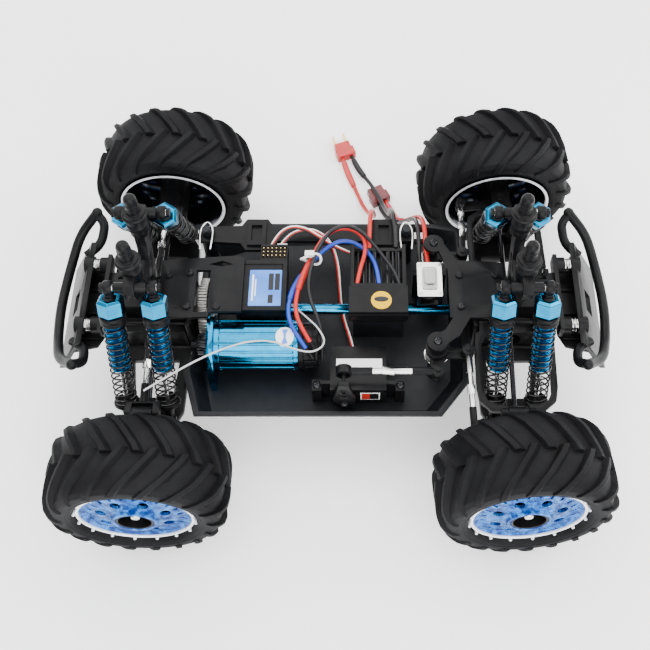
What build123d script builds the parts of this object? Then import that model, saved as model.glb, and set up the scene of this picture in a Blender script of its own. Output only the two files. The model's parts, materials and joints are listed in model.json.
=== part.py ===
from build123d import *
import math
import os

# Radio-controlled monster truck, 1/10 scale, rolling chassis without its body shell.
# Millimetres. +X is the truck's front, +Y its left side, +Z up.
# The origin is on the ground, midway between the four wheels.

# ---------------------------------------------------------------- driving dimensions
WHEELBASE = 260.0
TRACK = 262.0
AXLE_X = WHEELBASE / 2
WHEEL_Y = TRACK / 2

TYRE_R = 62.5
TYRE_HALF_W = 28.5
TYRE_CROWN_HALF = 18.0
RIM_R = 40.0
BARREL_R = 36.8
BEAD_Y = 24.3

CAMBER = {"front": 3.2, "rear": 1.7}
STEER_REST = 3.5

KINGPIN_Y = -32.0
HINGE_Y = -45.0
HINGE_LOW_Z = -16.0
HINGE_HIGH_Z = 18.0

ARM_IN_Y = 20.0
ARM_IN_Z = 54.0
ARM_HALF_X = 25.0
PIN_R = 1.5
FIT = 0.05
CUP_R = 8.3
DRIVE_BALL_R = 3.2

SHOCK_TOP = (30.0, 155.0)
SHOCK_LOW = (79.0, 56.0)
SHOCK_HALF_X = 14.5
SHOCK_R = 6.6
SPRING_R = 8.0
SPRING_WIRE_R = 0.85

SHAFT_Z = 75.0
SHAFT_R = 4.0
GEAR_MODULE = 0.8
SPUR_TEETH = 56
PINION_TEETH = 19
SPUR_X = -93.0
GEAR_W = 6.0
MOTOR_R = 18.0
MOTOR_Y = -(SPUR_TEETH + PINION_TEETH) * GEAR_MODULE / 2
MOTOR_X = (-84.0, -24.0)
TERMINAL_LENGTH = 9.0

DECK_Z = (98.5, 101.5)
FLOOR_Z = (50.0, 52.5)
LIP_Z = 66.0

CRANK_X = 74.5
CRANK_Y = 41.0
CRANK_ARM = 22.0
KNUCKLE_ARM = (-31.0, -34.0)
SERVO_ARM = 18.0
HORN_AXIS = (9.0, 65.0)
LINK_Z = 91.0
LINK_Y = -CRANK_Y - SERVO_ARM
CRANK_REST = -STEER_REST * abs(KNUCKLE_ARM[0]) / CRANK_ARM

STRAP_POSTS = (-96.0, 55.0)
STRAP_Y = 58.5
BODY_POST_Y = 18.4
POST_R = 4.5
POST_TOP_Z = 190.0

ENDS = {"front": 1, "rear": -1}
SIDES = {"left": 1, "right": -1}


# ---------------------------------------------------------------- small helpers
def block(x, y, z):
    """A box between the limits given as (low, high) on each axis."""
    size = (x[1] - x[0], y[1] - y[0], z[1] - z[0])
    centre = ((x[0] + x[1]) / 2, (y[0] + y[1]) / 2, (z[0] + z[1]) / 2)
    return Pos(*centre) * Box(*size)


def rod(start, end, radius):
    """A round rod from one point to another."""
    a = Vector(*start)
    b = Vector(*end)
    plane = Plane(origin=a, z_dir=(b - a).normalized())
    return extrude(plane * Circle(radius), (b - a).length)


def pipe(start, end, outer, inner):
    """A round tube from one point to another."""
    a = Vector(*start)
    b = Vector(*end)
    plane = Plane(origin=a, z_dir=(b - a).normalized())
    return extrude(plane * (Circle(outer) - Circle(inner)), (b - a).length)


def hexagon(start, end, across_corners_r):
    """A hexagonal bar from one point to another."""
    a = Vector(*start)
    b = Vector(*end)
    plane = Plane(origin=a, z_dir=(b - a).normalized())
    return extrude(plane * RegularPolygon(across_corners_r, 6), (b - a).length)


def flat_plate(points, z):
    """A plate with the given outline in XY, between two heights."""
    face = make_face(Polyline(*[(p[0], p[1], z[0]) for p in points], close=True))
    return extrude(face, z[1] - z[0], dir=(0, 0, 1))


def cross_plate(points, x):
    """A plate with the given outline in YZ, between two X positions."""
    face = make_face(Polyline(*[(x[0], p[0], p[1]) for p in points], close=True))
    return extrude(face, x[1] - x[0], dir=(1, 0, 0))


def side_plate(points, y):
    """A plate with the given outline in XZ, between two Y positions."""
    face = make_face(Polyline(*[(p[0], y[0], p[1]) for p in points], close=True))
    return extrude(face, y[1] - y[0], dir=(0, 1, 0))


def bent_tube(points, radius, fraction=0.45):
    """A tube of straight runs joined by tangent arcs, each as large as its runs allow."""
    route = [Vector(*p) for p in points]
    radii = []
    for before, here, after in zip(route, route[1:], route[2:]):
        run_in = here - before
        run_out = after - here
        half_turn = math.radians(run_in.get_angle(run_out)) / 2
        radii.append(fraction * min(run_in.length, run_out.length) / math.tan(half_turn))
    path = FilletPolyline(*route, radius=radii)
    section = Plane(origin=route[0], z_dir=(route[1] - route[0]).normalized()) * Circle(radius)
    tube = sweep(section, path=path)
    return tube, radii, path.length


def write(name, *shapes):
    """Write every solid of the shapes to the node's own STEP file."""
    solids = [solid for shape in shapes for solid in shape.solids()]
    whole = solids[0] if len(solids) == 1 else Compound(solids)
    export_step(whole, f"parts/{name}.step")


# ---------------------------------------------------------------- corner placing
def wheel_height(end):
    """Height of a wheel's centre that puts its leaning tyre on the ground."""
    lean = math.radians(CAMBER[end])
    return TYRE_R * math.cos(lean) + TYRE_CROWN_HALF * math.sin(lean)


def hub_point(end, x, y, z):
    """A hub point given from the wheel's centre, as a point of the front left corner."""
    lean = math.radians(CAMBER[end])
    return Vector(
        AXLE_X + x,
        WHEEL_Y + y * math.cos(lean) - z * math.sin(lean),
        wheel_height(end) + y * math.sin(lean) + z * math.cos(lean),
    )


def lean_hub(shape, end):
    """Put a shape made about the wheel's centre in the leaning hub of the front left corner."""
    return Pos(AXLE_X, WHEEL_Y, wheel_height(end)) * Rot(CAMBER[end], 0, 0) * shape


def to_corner(shape, end, side):
    """Mirror a shape from the front left corner to another corner."""
    if ENDS[end] < 0:
        shape = mirror(shape, about=Plane.YZ)
    if SIDES[side] < 0:
        shape = mirror(shape, about=Plane.XZ)
    return shape


def steer(shape, end, side):
    """Turn a front hub piece about its kingpin to the rest angle of the steering."""
    if end == "rear":
        return shape
    foot = hub_point(end, 0, KINGPIN_Y, -10)
    head = hub_point(end, 0, KINGPIN_Y, 10)
    sign = SIDES[side]
    kingpin = Axis((foot.X, sign * foot.Y, foot.Z), (0, sign * (head.Y - foot.Y), head.Z - foot.Z))
    return shape.rotate(kingpin, STEER_REST)


def arm_rise(end):
    """Vector from a suspension arm's inner hinge to its outer hinge, in Y and Z."""
    outer = hub_point(end, 0, HINGE_Y, HINGE_LOW_Z)
    return outer.Y - ARM_IN_Y, outer.Z - ARM_IN_Z


def upper_inner(end):
    """Inner hinge of the upper arm, placed so that both arms stay parallel."""
    outer = hub_point(end, 0, HINGE_Y, HINGE_HIGH_Z)
    rise = arm_rise(end)
    return outer.Y - rise[0], outer.Z - rise[1]


# ---------------------------------------------------------------- wheels
def make_tyre():
    """Hollow tyre, open to the rim."""
    outline = [
        (-24, 37), (-24, 40.3), (-28.5, 48), (-27.5, 57), (-TYRE_CROWN_HALF, TYRE_R),
        (TYRE_CROWN_HALF, TYRE_R), (27.5, 57), (28.5, 48), (24, 40.3), (24, 37),
        (20, 37), (24.5, 49), (23, 54.5), (16, 58.5),
        (-16, 58.5), (-23, 54.5), (-24.5, 49), (-20, 37),
    ]
    face = make_face(Polyline(*[(0, y, r) for y, r in outline], close=True))
    return revolve(face, Axis.Y, 360)


def make_wheel():
    """Rim with its web, hexagonal hub and lock nut, and the axle with its drive cup."""
    profile = [
        (-28, 38.2), (-28, RIM_R), (-BEAD_Y, RIM_R), (-BEAD_Y, BARREL_R), (BEAD_Y, BARREL_R),
        (BEAD_Y, RIM_R), (28, RIM_R), (28, 36), (24, 34.5), (14, 34.5), (13, 30),
        (9, 12), (12, 10), (12, 3.6), (0, 3.6), (0, 9), (5, 12), (8, 30), (8, 34.5), (-21, 34.5),
    ]
    face = make_face(Polyline(*[(0, y, r) for y, r in profile], close=True))
    rim = revolve(face, Axis.Y, 360)
    for index in range(6):
        hole = Pos(0, 0, 22) * Rot(-90, 0, 0) * Cylinder(5.2, 40)
        rim -= Rot(0, 60 * index, 0) * hole
    axle = rod((0, -22.0, 0), (0, 21, 0), 3.5)
    cup = pipe((0, -36, 0), (0, -23.5, 0), CUP_R, CUP_R - 2.1) + rod((0, -23.5, 0), (0, -21, 0), CUP_R)
    nut = hexagon((0, 12, 0), (0, 18, 0), 5.5) - rod((0, 11, 0), (0, 19, 0), 3.5)
    return rim, axle + cup, nut


# ---------------------------------------------------------------- hubs
def make_carrier(end):
    """Hub carrier on the arms' outer ends: a C-hub in front, a closed upright behind."""
    wall = block((-13, 13), (HINGE_Y, HINGE_Y + 4), (-10.5, 12.5))
    low_eye = rod((-7, HINGE_Y, HINGE_LOW_Z), (7, HINGE_Y, HINGE_LOW_Z), 4.5)
    high_eye = rod((-7, HINGE_Y, HINGE_HIGH_Z), (7, HINGE_Y, HINGE_HIGH_Z), 4.5)
    neck = block((-7, 7), (HINGE_Y, HINGE_Y + 4), (HINGE_LOW_Z, HINGE_HIGH_Z))
    body = wall + low_eye + high_eye + neck
    if end == "front":
        for z in ((15, 19), (-19, -15)):
            body += block((-7, 7), (HINGE_Y, -25), z)
        body -= rod((0, KINGPIN_Y, -25), (0, KINGPIN_Y, 25), 2.0 + FIT)
    else:
        body += rod((0, HINGE_Y + 4, 0), (0, -6, 0), 12.0)
        body += block((-7, 7), (HINGE_Y, -25), (9, 16))
        body += block((-7, 7), (HINGE_Y, -25), (-16, -9))
        body -= rod((0, -50, 0), (0, -20, 0), 8.8)
        body -= rod((0, -21, 0), (0, -5, 0), 3.5 + FIT)
    body -= rod((0, -50, 0), (0, HINGE_Y + 5, 0), 9.5)
    for z in (HINGE_LOW_Z, HINGE_HIGH_Z):
        body -= rod((-20, HINGE_Y, z), (20, HINGE_Y, z), PIN_R + FIT)
    return body


def make_knuckle():
    """Front steering knuckle with its kingpins and steering arm, for the left side."""
    body = rod((0, -36, 0), (0, -6, 0), 12.0)
    body += block((-6, 6), (-36, -26), (-14.7, 14.7))
    arm = flat_plate([(-3, -36), (-3, -29.5), (-31, -30.3), (-31, -37.5)], (9.5, 13))
    arm += Pos(KNUCKLE_ARM[0], KNUCKLE_ARM[1], 11.25) * Cylinder(4.0, 3.5)
    body += arm
    body -= rod((0, -40, 0), (0, -20, 0), 8.8)
    body -= rod((0, -21, 0), (0, -5, 0), 3.5 + FIT)
    for z in (14.0, -19.0):
        body += rod((0, KINGPIN_Y, z), (0, KINGPIN_Y, z + 5), 2.0)
    return body


# ---------------------------------------------------------------- suspension arms
def arm_eyes(length_x, y, z, radius):
    """Long hinge barrel along X."""
    return rod((AXLE_X - length_x, y, z), (AXLE_X + length_x, y, z), radius)


def make_lower_arm(end):
    """Lower arm with its outer fork, outer pin and the shocks' lower brackets."""
    outer = hub_point(end, 0, HINGE_Y, HINGE_LOW_Z)
    inner_y, inner_z = ARM_IN_Y, ARM_IN_Z
    rise = arm_rise(end)
    slope = math.atan2(rise[1], rise[0])

    def along(distance, lift):
        return (
            inner_y + distance * math.cos(slope) - lift * math.sin(slope),
            inner_z + distance * math.sin(slope) + lift * math.cos(slope),
        )

    span = math.hypot(*rise)
    blade = flat_plate(
        [(-ARM_HALF_X, 0), (ARM_HALF_X, 0), (22, span - 16), (13, span), (-13, span), (-22, span - 16)],
        (-3.5, 3.5),
    )
    blade -= flat_plate([(-17, 12), (17, 12), (14, span - 26), (-14, span - 26)], (-5, 5))
    arm = Pos(AXLE_X, inner_y, inner_z) * Rot(math.degrees(slope), 0, 0) * blade
    arm += arm_eyes(ARM_HALF_X, inner_y, inner_z, 4.5)
    arm += rod((AXLE_X - 13, outer.Y, outer.Z), (AXLE_X + 13, outer.Y, outer.Z), 4.5)
    reach = rod((AXLE_X - 7.4, outer.Y, outer.Z), (AXLE_X + 7.4, outer.Y, outer.Z), 5.3)
    gap_near = outer.Y - 7.0
    arm -= reach + block(
        (AXLE_X - 7.4, AXLE_X + 7.4), (gap_near, outer.Y + 12), (outer.Z - 12, outer.Z + 12)
    )
    low_y, low_z = SHOCK_LOW
    for side_x in (-1, 1):
        x = AXLE_X + side_x * SHOCK_HALF_X
        pin_from = AXLE_X + side_x * 9.0
        foot_y, foot_z = along(low_y - inner_y, 0)
        ear_points = [
            (foot_y - 5, foot_z), (foot_y + 2.4, foot_z),
            (low_y + 2.4, low_z + 3), (low_y - 3.4, low_z + 3),
        ]
        arm += cross_plate(ear_points, sorted((pin_from, pin_from - side_x * 3)))
        arm += rod((pin_from, low_y, low_z), (x + side_x * 4.5, low_y, low_z), PIN_R)
        seat = block((x - 5, x + 5), (low_y - 9, low_y + 9), (low_z - 5.4, low_z + 5.6))
        relief = rod((x - 4, low_y, low_z), (x + 4, low_y, low_z), 5.6)
        arm -= (seat & relief) - rod((x - 6, low_y, low_z), (x + 6, low_y, low_z), PIN_R)
    arm -= rod((AXLE_X - 40, inner_y, inner_z), (AXLE_X + 40, inner_y, inner_z), PIN_R + FIT)
    pin = rod((AXLE_X - 13, outer.Y, outer.Z), (AXLE_X + 13, outer.Y, outer.Z), PIN_R)
    return arm + pin


def make_upper_arm(end):
    """Front upper arm, a loop that goes round both shocks."""
    outer = hub_point(end, 0, HINGE_Y, HINGE_HIGH_Z)
    inner_y, inner_z = upper_inner(end)
    rise = arm_rise(end)
    slope = math.degrees(math.atan2(rise[1], rise[0]))
    span = math.hypot(*rise)
    half_outside = [(28.2, 0), (28.2, 50), (26.5, 60), (18, span - 0.6), (12, span)]
    half_inside = [(24, 5), (24, 53), (21, 59.5), (14, span - 5.3)]
    outside = half_outside + [(-x, y) for x, y in reversed(half_outside)]
    inside = half_inside + [(-x, y) for x, y in reversed(half_inside)]
    blade = flat_plate(outside, (-3, 3)) - flat_plate(inside, (-5, 5))
    blade -= flat_plate([(-20, -2), (20, -2), (20, 12), (-20, 12)], (-5, 5))
    arm = Pos(AXLE_X, inner_y, inner_z) * Rot(slope, 0, 0) * blade
    for side_x in (-1, 1):
        shoulder = sorted((AXLE_X + side_x * (ARM_HALF_X - 0.3), AXLE_X + side_x * 32))
        arm -= block(shoulder, (0, inner_y + 9.5), (60, 110))
    barrel = arm_eyes(ARM_HALF_X - 0.3, inner_y, inner_z, 3.6)
    barrel -= block((AXLE_X - 18, AXLE_X + 18), (inner_y - 9, inner_y + 9), (inner_z - 9, inner_z + 9))
    bridge = flat_plate(
        [(-24.7, 0), (-18, 0), (-18, 8), (-24, 18), (-28.2, 20), (-28.2, 11), (-24.7, 8)],
        (-3, 3),
    )
    bridge += mirror(bridge, about=Plane.YZ)
    arm += barrel + Pos(AXLE_X, inner_y, inner_z) * Rot(slope, 0, 0) * bridge
    arm += rod((AXLE_X - 12, outer.Y, outer.Z), (AXLE_X + 12, outer.Y, outer.Z), 4.0)
    arm -= rod((AXLE_X - 7.4, outer.Y, outer.Z), (AXLE_X + 7.4, outer.Y, outer.Z), 5.3)
    arm -= block((AXLE_X - 7.4, AXLE_X + 7.4), (outer.Y - 5.6, outer.Y + 9), (outer.Z - 9, outer.Z + 9))
    arm -= rod((AXLE_X - 40, inner_y, inner_z), (AXLE_X + 40, inner_y, inner_z), PIN_R + FIT)
    pin = rod((AXLE_X - 12, outer.Y, outer.Z), (AXLE_X + 12, outer.Y, outer.Z), PIN_R)
    return arm + pin


def make_upper_link(end):
    """Rear upper link: a turnbuckle between two rod ends, in the gap between the shocks."""
    outer = hub_point(end, 0, HINGE_Y, HINGE_HIGH_Z)
    inner_y, inner_z = upper_inner(end)
    rise = arm_rise(end)
    length = math.hypot(*rise)
    step = (rise[0] / length, rise[1] / length)

    def at(distance):
        return AXLE_X, inner_y + step[0] * distance, inner_z + step[1] * distance

    inner_end = rod((AXLE_X - 3, inner_y, inner_z), (AXLE_X + 3, inner_y, inner_z), 4.2)
    inner_end += rod(at(2), at(18), 2.8)
    inner_end -= rod((AXLE_X - 4, inner_y, inner_z), (AXLE_X + 4, inner_y, inner_z), PIN_R + FIT)
    outer_start = length - 7.0
    outer_end = rod(at(outer_start - 14), at(outer_start), 2.8)
    yoke = block((AXLE_X - 12, AXLE_X + 12), (outer.Y - 7, outer.Y - 5.6), (outer.Z - 3, outer.Z + 4))
    for side_x in (-1, 1):
        x = sorted((AXLE_X + side_x * 7.4, AXLE_X + side_x * 12))
        yoke += block(x, (outer.Y - 7, outer.Y), (outer.Z - 3, outer.Z + 4))
        yoke += rod((x[0], outer.Y, outer.Z), (x[1], outer.Y, outer.Z), 4.0)
    yoke += rod((AXLE_X - 12, outer.Y, outer.Z), (AXLE_X + 12, outer.Y, outer.Z), PIN_R)
    buckle = rod(at(16), at(outer_start - 12), 2.0)
    buckle += hexagon(at(length / 2 - 5), at(length / 2 + 1), 3.2)
    return inner_end + outer_end + yoke + buckle


# ---------------------------------------------------------------- shocks
def shock_frame():
    """Unit vector down a shock's axis in Y and Z, and the distance between its eyes."""
    run = SHOCK_LOW[0] - SHOCK_TOP[0]
    drop = SHOCK_LOW[1] - SHOCK_TOP[1]
    length = math.hypot(run, drop)
    return run / length, drop / length, length


def shock_at(side_x, distance):
    """A point on one shock's axis, at a distance below its upper eye."""
    unit_y, unit_z, _ = shock_frame()
    return (
        AXLE_X + side_x * SHOCK_HALF_X,
        SHOCK_TOP[0] + unit_y * distance,
        SHOCK_TOP[1] + unit_z * distance,
    )


def make_shock_body(side_x):
    """Damper cylinder with its hexagonal cap, ball end and spring collar."""
    x = AXLE_X + side_x * SHOCK_HALF_X
    eye = rod((x - 3, *SHOCK_TOP), (x + 3, *SHOCK_TOP), 4.6)
    eye += rod(shock_at(side_x, 2), shock_at(side_x, 9), 2.9)
    eye -= rod((x - 5, *SHOCK_TOP), (x + 5, *SHOCK_TOP), 2.0 + FIT)
    cap = hexagon(shock_at(side_x, 8), shock_at(side_x, 21), 9.2)
    cylinder = pipe(shock_at(side_x, 20), shock_at(side_x, 62), SHOCK_R, 4.8)
    end_cap = pipe(shock_at(side_x, 60), shock_at(side_x, 65), SHOCK_R, 1.75 + FIT)
    collar = pipe(shock_at(side_x, 22), shock_at(side_x, 27), 8.8, 6.0)
    return eye + cap + cylinder + end_cap + collar


def make_shock_shaft(side_x):
    """Damper rod with its piston, spring perch and lower eye."""
    _, _, length = shock_frame()
    x = AXLE_X + side_x * SHOCK_HALF_X
    shaft = rod(shock_at(side_x, 44), shock_at(side_x, length - 6), 1.75)
    piston = rod(shock_at(side_x, 44), shock_at(side_x, 47), 4.6)
    perch = rod(shock_at(side_x, 94), shock_at(side_x, 97.5), 8.6)
    neck = rod(shock_at(side_x, 97), shock_at(side_x, length - 2), 3.2)
    eye = rod((x - 3, *SHOCK_LOW), (x + 3, *SHOCK_LOW), 4.4)
    body = shaft + piston + perch + neck + eye
    return body - rod((x - 6, *SHOCK_LOW), (x + 6, *SHOCK_LOW), 2.4)


def make_spring(side_x):
    """Coil spring between the collar and the perch."""
    start = Vector(*shock_at(side_x, 28))
    end = Vector(*shock_at(side_x, 93))
    plane = Plane(origin=start, x_dir=(1, 0, 0), z_dir=(end - start).normalized())
    height = (end - start).length
    line = Helix(pitch=height / 10, height=height, radius=SPRING_R)
    section = Plane(origin=line @ 0, z_dir=line % 0) * Circle(SPRING_WIRE_R)
    return plane.location * sweep(section, path=line, is_frenet=True)


# ---------------------------------------------------------------- drive shafts and gears
def make_dogbone(end):
    """Drive shaft with a ball at each end, between the differential and the wheel's cup."""
    inner = (AXLE_X, ARM_IN_Y, ARM_IN_Z - HINGE_LOW_Z)
    outer = hub_point(end, 0, KINGPIN_Y, 0)
    shaft = rod(inner, (outer.X, outer.Y, outer.Z), 1.9)
    return shaft + Pos(*inner) * Sphere(DRIVE_BALL_R) + Pos(outer.X, outer.Y, outer.Z) * Sphere(DRIVE_BALL_R)


def gear_outline(teeth, phase):
    """Corner points of a toothed disc with straight tooth flanks."""
    pitch_r = teeth * GEAR_MODULE / 2
    tip_r = pitch_r + 0.80 * GEAR_MODULE
    root_r = pitch_r - 1.10 * GEAR_MODULE
    points = []
    for index in range(teeth):
        centre = phase + 360 / teeth * index
        pitch_angle = 360 / teeth
        for radius, share in ((root_r, -0.33), (tip_r, -0.12), (tip_r, 0.12), (root_r, 0.33)):
            angle = math.radians(centre + share * pitch_angle)
            points.append((radius * math.cos(angle), radius * math.sin(angle)))
    return points


def make_gear(teeth, phase, y, x):
    """Toothed disc about an axis along X, at height SHAFT_Z."""
    points = [(y + a, SHAFT_Z + b) for a, b in gear_outline(teeth, phase)]
    return cross_plate(points, x)


def make_spur():
    """Spur gear with the long centre shaft that drives both ends."""
    gear = make_gear(SPUR_TEETH, 180, 0, (SPUR_X - GEAR_W / 2, SPUR_X + GEAR_W / 2))
    hub = rod((SPUR_X + 3, 0, SHAFT_Z), (SPUR_X + 9, 0, SHAFT_Z), 9.0)
    shaft = rod((SPUR_X + 8, 0, SHAFT_Z), (98, 0, SHAFT_Z), SHAFT_R)
    ends = rod((-112, 0, SHAFT_Z), (112, 0, SHAFT_Z), 2.5)
    return gear + hub + shaft + ends


def make_pinion():
    """Pinion on the motor's shaft, with its set-screw boss."""
    gear = make_gear(PINION_TEETH, 180 / PINION_TEETH, MOTOR_Y, (SPUR_X - 3.5, SPUR_X + 3.5))
    boss = rod((SPUR_X - 8, MOTOR_Y, SHAFT_Z), (SPUR_X - 3, MOTOR_Y, SHAFT_Z), 4.8)
    body = gear + boss
    shaft = rod((SPUR_X - 7, MOTOR_Y, SHAFT_Z), (MOTOR_X[0] + 3, MOTOR_Y, SHAFT_Z), 1.6)
    return body + shaft


def make_motor():
    """Electric motor: can, end bell, brush leads' tabs, and the mounting plate."""
    can = rod((MOTOR_X[0], MOTOR_Y, SHAFT_Z), (MOTOR_X[1], MOTOR_Y, SHAFT_Z), MOTOR_R)
    for index in range(24):
        angle = math.radians(15 * index)
        y = MOTOR_Y + MOTOR_R * math.cos(angle)
        z = SHAFT_Z + MOTOR_R * math.sin(angle)
        can -= rod((MOTOR_X[0] + 4, y, z), (MOTOR_X[1] - 3, y, z), 0.9)
    can -= rod((MOTOR_X[0] - 1, MOTOR_Y, SHAFT_Z), (MOTOR_X[0] + 4, MOTOR_Y, SHAFT_Z), 3.0)
    bell = rod((MOTOR_X[1], MOTOR_Y, SHAFT_Z), (MOTOR_X[1] + 14, MOTOR_Y, SHAFT_Z), 15.5)
    bell += rod((MOTOR_X[1] + 13, MOTOR_Y, SHAFT_Z), (MOTOR_X[1] + 17, MOTOR_Y, SHAFT_Z), 6.0)
    for lead in (MOTOR_RED, MOTOR_BLUE, MOTOR_BLACK):
        before = Vector(*lead[-2])
        tip = Vector(*lead[-1])
        ahead = (tip - before).normalized()
        bell += rod(tip + ahead * 0.2, tip + ahead * TERMINAL_LENGTH, 1.6)
    profile = [
        (-56, FLOOR_Z[1]), (-14, FLOOR_Z[1]), (-12, 60), (-12, 88), (-18, 95.5),
        (-34, 95.5), (-45, 90), (-51, 80), (-55, 66),
    ]
    mount = cross_plate(profile, (MOTOR_X[0] - 4.5, MOTOR_X[0]))
    mount -= rod((MOTOR_X[0] - 6, MOTOR_Y, SHAFT_Z), (MOTOR_X[0] + 1, MOTOR_Y, SHAFT_Z), 6.5)
    return can, bell, mount


# ---------------------------------------------------------------- chassis
def tray_outline(inset):
    """Corner points of the chassis tray, pulled in by an inset."""
    points = [
        (-96, -80), (77, -80), (97, -54), (99, -26), (99, 26), (97, 78), (76, 81.5),
        (-48, 81.5), (-76, 75), (-98, 66), (-99, 26), (-99, -26), (-106, -46),
    ]
    mid_x, mid_y = -2.0, 0.0
    scaled = []
    for x, y in points:
        reach = math.hypot(x - mid_x, y - mid_y)
        share = (reach - inset) / reach
        scaled.append((mid_x + (x - mid_x) * share, mid_y + (y - mid_y) * share))
    return scaled


def tray_solid(low_inset, high_inset, low_z, high_z):
    """Solid between a smaller floor outline and a larger lip outline."""
    low = make_face(Polyline(*[(x, y, low_z) for x, y in tray_outline(low_inset)], close=True))
    high = make_face(Polyline(*[(x, y, high_z) for x, y in tray_outline(high_inset)], close=True))
    return Solid.make_loft([low.face().outer_wire(), high.face().outer_wire()], ruled=True)


def make_chassis():
    """Chassis tub with flared walls, slot windows and skid plates."""
    tub = Part() + tray_solid(9, 0, FLOOR_Z[0], LIP_Z)
    tub -= tray_solid(12, 2.6, FLOOR_Z[1], LIP_Z + 0.2)
    lip = flat_plate(tray_outline(-2), (LIP_Z - 2.5, LIP_Z))
    lip -= flat_plate(tray_outline(2.6), (LIP_Z - 4, LIP_Z + 2))
    tub += lip
    for x in ((-44, -6), (2, 46), (54, 72)):
        tub -= block(x, (70, 79.5), (54.5, 62))
    tub -= block((-102, -86.5), (-26, 26), (FLOOR_Z[0] + 0.5, LIP_Z + 1))
    for end in (1, -1):
        x = sorted((end * 92, end * 163))
        tub += block(x, (-13.5, 13.5), (46.5, FLOOR_Z[0] + 0.5))
    return tub


def stepped_post(x, y, shoulder_z, top_z, radius):
    """Post that stands on the tub's floor, with a spigot above its shoulder."""
    post = rod((x, y, FLOOR_Z[1]), (x, y, shoulder_z), radius)
    return post + rod((x, y, shoulder_z - 0.5), (x, y, top_z), 3.0)


def make_stands():
    """Radio stands over the centre shaft, battery rails, strap posts and steering posts."""
    pieces = []
    for x in ((-69, -33), (13, 54)):
        stand = block(x, (-11, 28), (81.5, 84))
        for y in ((-11, -7.5), (24, 28)):
            stand += block((x[0] + 2, x[1] - 2), y, (FLOOR_Z[1], 82))
        pieces.append(stand)
    for x in (-78, 30):
        pieces.append(block((x, x + 22), (28.2, 30.2), (FLOOR_Z[1], 62)))
    for x in STRAP_POSTS:
        pieces.append(stepped_post(x, STRAP_Y, 84.5, 95, 5.0))
    for side in (1, -1):
        pieces.append(stepped_post(CRANK_X, side * CRANK_Y, 81, DECK_Z[0], 5.5))
    return pieces


def make_strap():
    """Battery strap over two posts, held by two body clips."""
    strap = flat_plate(
        [(-102, 52), (-70, 50), (-66, 44), (-50, 44), (-46, 52), (26, 52), (30, 44), (46, 44),
         (50, 52), (61, 52), (61, 65), (50, 66), (46, 72), (30, 72), (26, 66), (-46, 66), (-50, 72),
         (-66, 72), (-70, 66), (-102, 65)],
        (85, 88),
    )
    for x in (-58, 38):
        strap += block((x - 7, x + 7), (47, 69), (87, 90.5)) - block((x - 4, x + 4), (51, 65), (80, 95))
    for x in STRAP_POSTS:
        strap -= rod((x, STRAP_Y, 80), (x, STRAP_Y, 90), 3.3)
    clips = []
    wire = [(-3.8, -15.5), (-4.6, -6), (-4.5, 4), (0, 11), (4.5, 4), (4.6, -6), (3.8, -15.5)]
    for x in STRAP_POSTS:
        clip, _, _ = bent_tube([(x + along, STRAP_Y + across, 90) for along, across in wire], 0.7)
        clips.append(clip)
    return strap, *clips


def make_gearbox(end):
    """Gearbox housing, its end plates and hinge pins, and the deck on top."""
    inner_y, inner_z = upper_inner(end)
    axis_z = ARM_IN_Z - HINGE_LOW_Z
    box = block((104, 156), (-14, 14), (50.5, 66))
    box += block((106, 154), (-23, 23), (axis_z - 7.5, inner_z - 5.5))
    box += block((104, 156), (-11.5, 11.5), (inner_z - 7, DECK_Z[0]))
    for x in ((101.5, 104.6), (155.4, 159)):
        box += cross_plate(
            [(-24, 50.5), (-24, inner_z + 5), (24, inner_z + 5), (24, 50.5)], x
        )
    for side in (1, -1):
        box -= rod((AXLE_X, side * 12, axis_z), (AXLE_X, side * 30, axis_z), 7.6)
    box -= rod((95, 0, SHAFT_Z), (114, 0, SHAFT_Z), 2.5 + FIT)
    box += cross_plate([(-17, 90), (17, 90), (17, DECK_Z[0]), (-17, DECK_Z[0])], (155.4, 161))
    # hinge pins of both arms, held by the end plates
    pins = []
    for side in (1, -1):
        for y, z in ((ARM_IN_Y, ARM_IN_Z), (inner_y, inner_z)):
            pins.append(rod((102, side * y, z), (158.5, side * y, z), PIN_R))
            box -= rod((101, side * y, z), (160, side * y, z), PIN_R)
    return box, pins


def make_front_deck():
    """Front top plate, with the arm that steadies the steering post."""
    deck = flat_plate([(84, -22), (124, -22), (124, 24), (91, 26), (84, 20)], DECK_Z)
    deck += flat_plate([(86, -22), (98, -22), (90, -36), (80, -44), (70, -46), (68, -38), (80, -32)], DECK_Z)
    deck += Pos(CRANK_X, -CRANK_Y, 100) * Cylinder(7.5, 3)
    deck += flat_plate([(84, 18), (92, 24), (80, 44), (70, 46), (68, 38), (78, 34)], DECK_Z)
    deck += Pos(CRANK_X, CRANK_Y, 100) * Cylinder(7.5, 3)
    for x in (92, 118):
        for y in (-13, 13):
            deck += Pos(x, y, DECK_Z[1] + 0.9) * Cylinder(3.0, 1.8)
    return deck


def make_rear_deck():
    """Rear top plate with the slot over the spur gear and the diamond hole."""
    deck = flat_plate(
        [(-124, -22), (-107, -22), (-84, -17), (-64, -17), (-64, 28), (-70, 30), (-124, 26)],
        DECK_Z,
    )
    deck -= block((SPUR_X - 5, SPUR_X + 5), (-17.5, 17.5), (DECK_Z[0] - 1, DECK_Z[1] + 1))
    deck += block((-124, SPUR_X - 5), (-22, -14), DECK_Z)
    deck += block((SPUR_X - 6, SPUR_X + 6), (-21.5, -17.5), DECK_Z)
    diamond = flat_plate([(-90, 22.5), (-80, 20.5), (-72, 22.5), (-80, 25.5)], (DECK_Z[0] - 1, DECK_Z[1] + 1))
    deck -= diamond
    for x, y in ((-103, -13), (-103, 15), (-118, -13), (-118, 13), (-82, -13)):
        deck += Pos(x, y, DECK_Z[1] + 0.9) * Cylinder(3.0, 1.8)
    return deck


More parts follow.
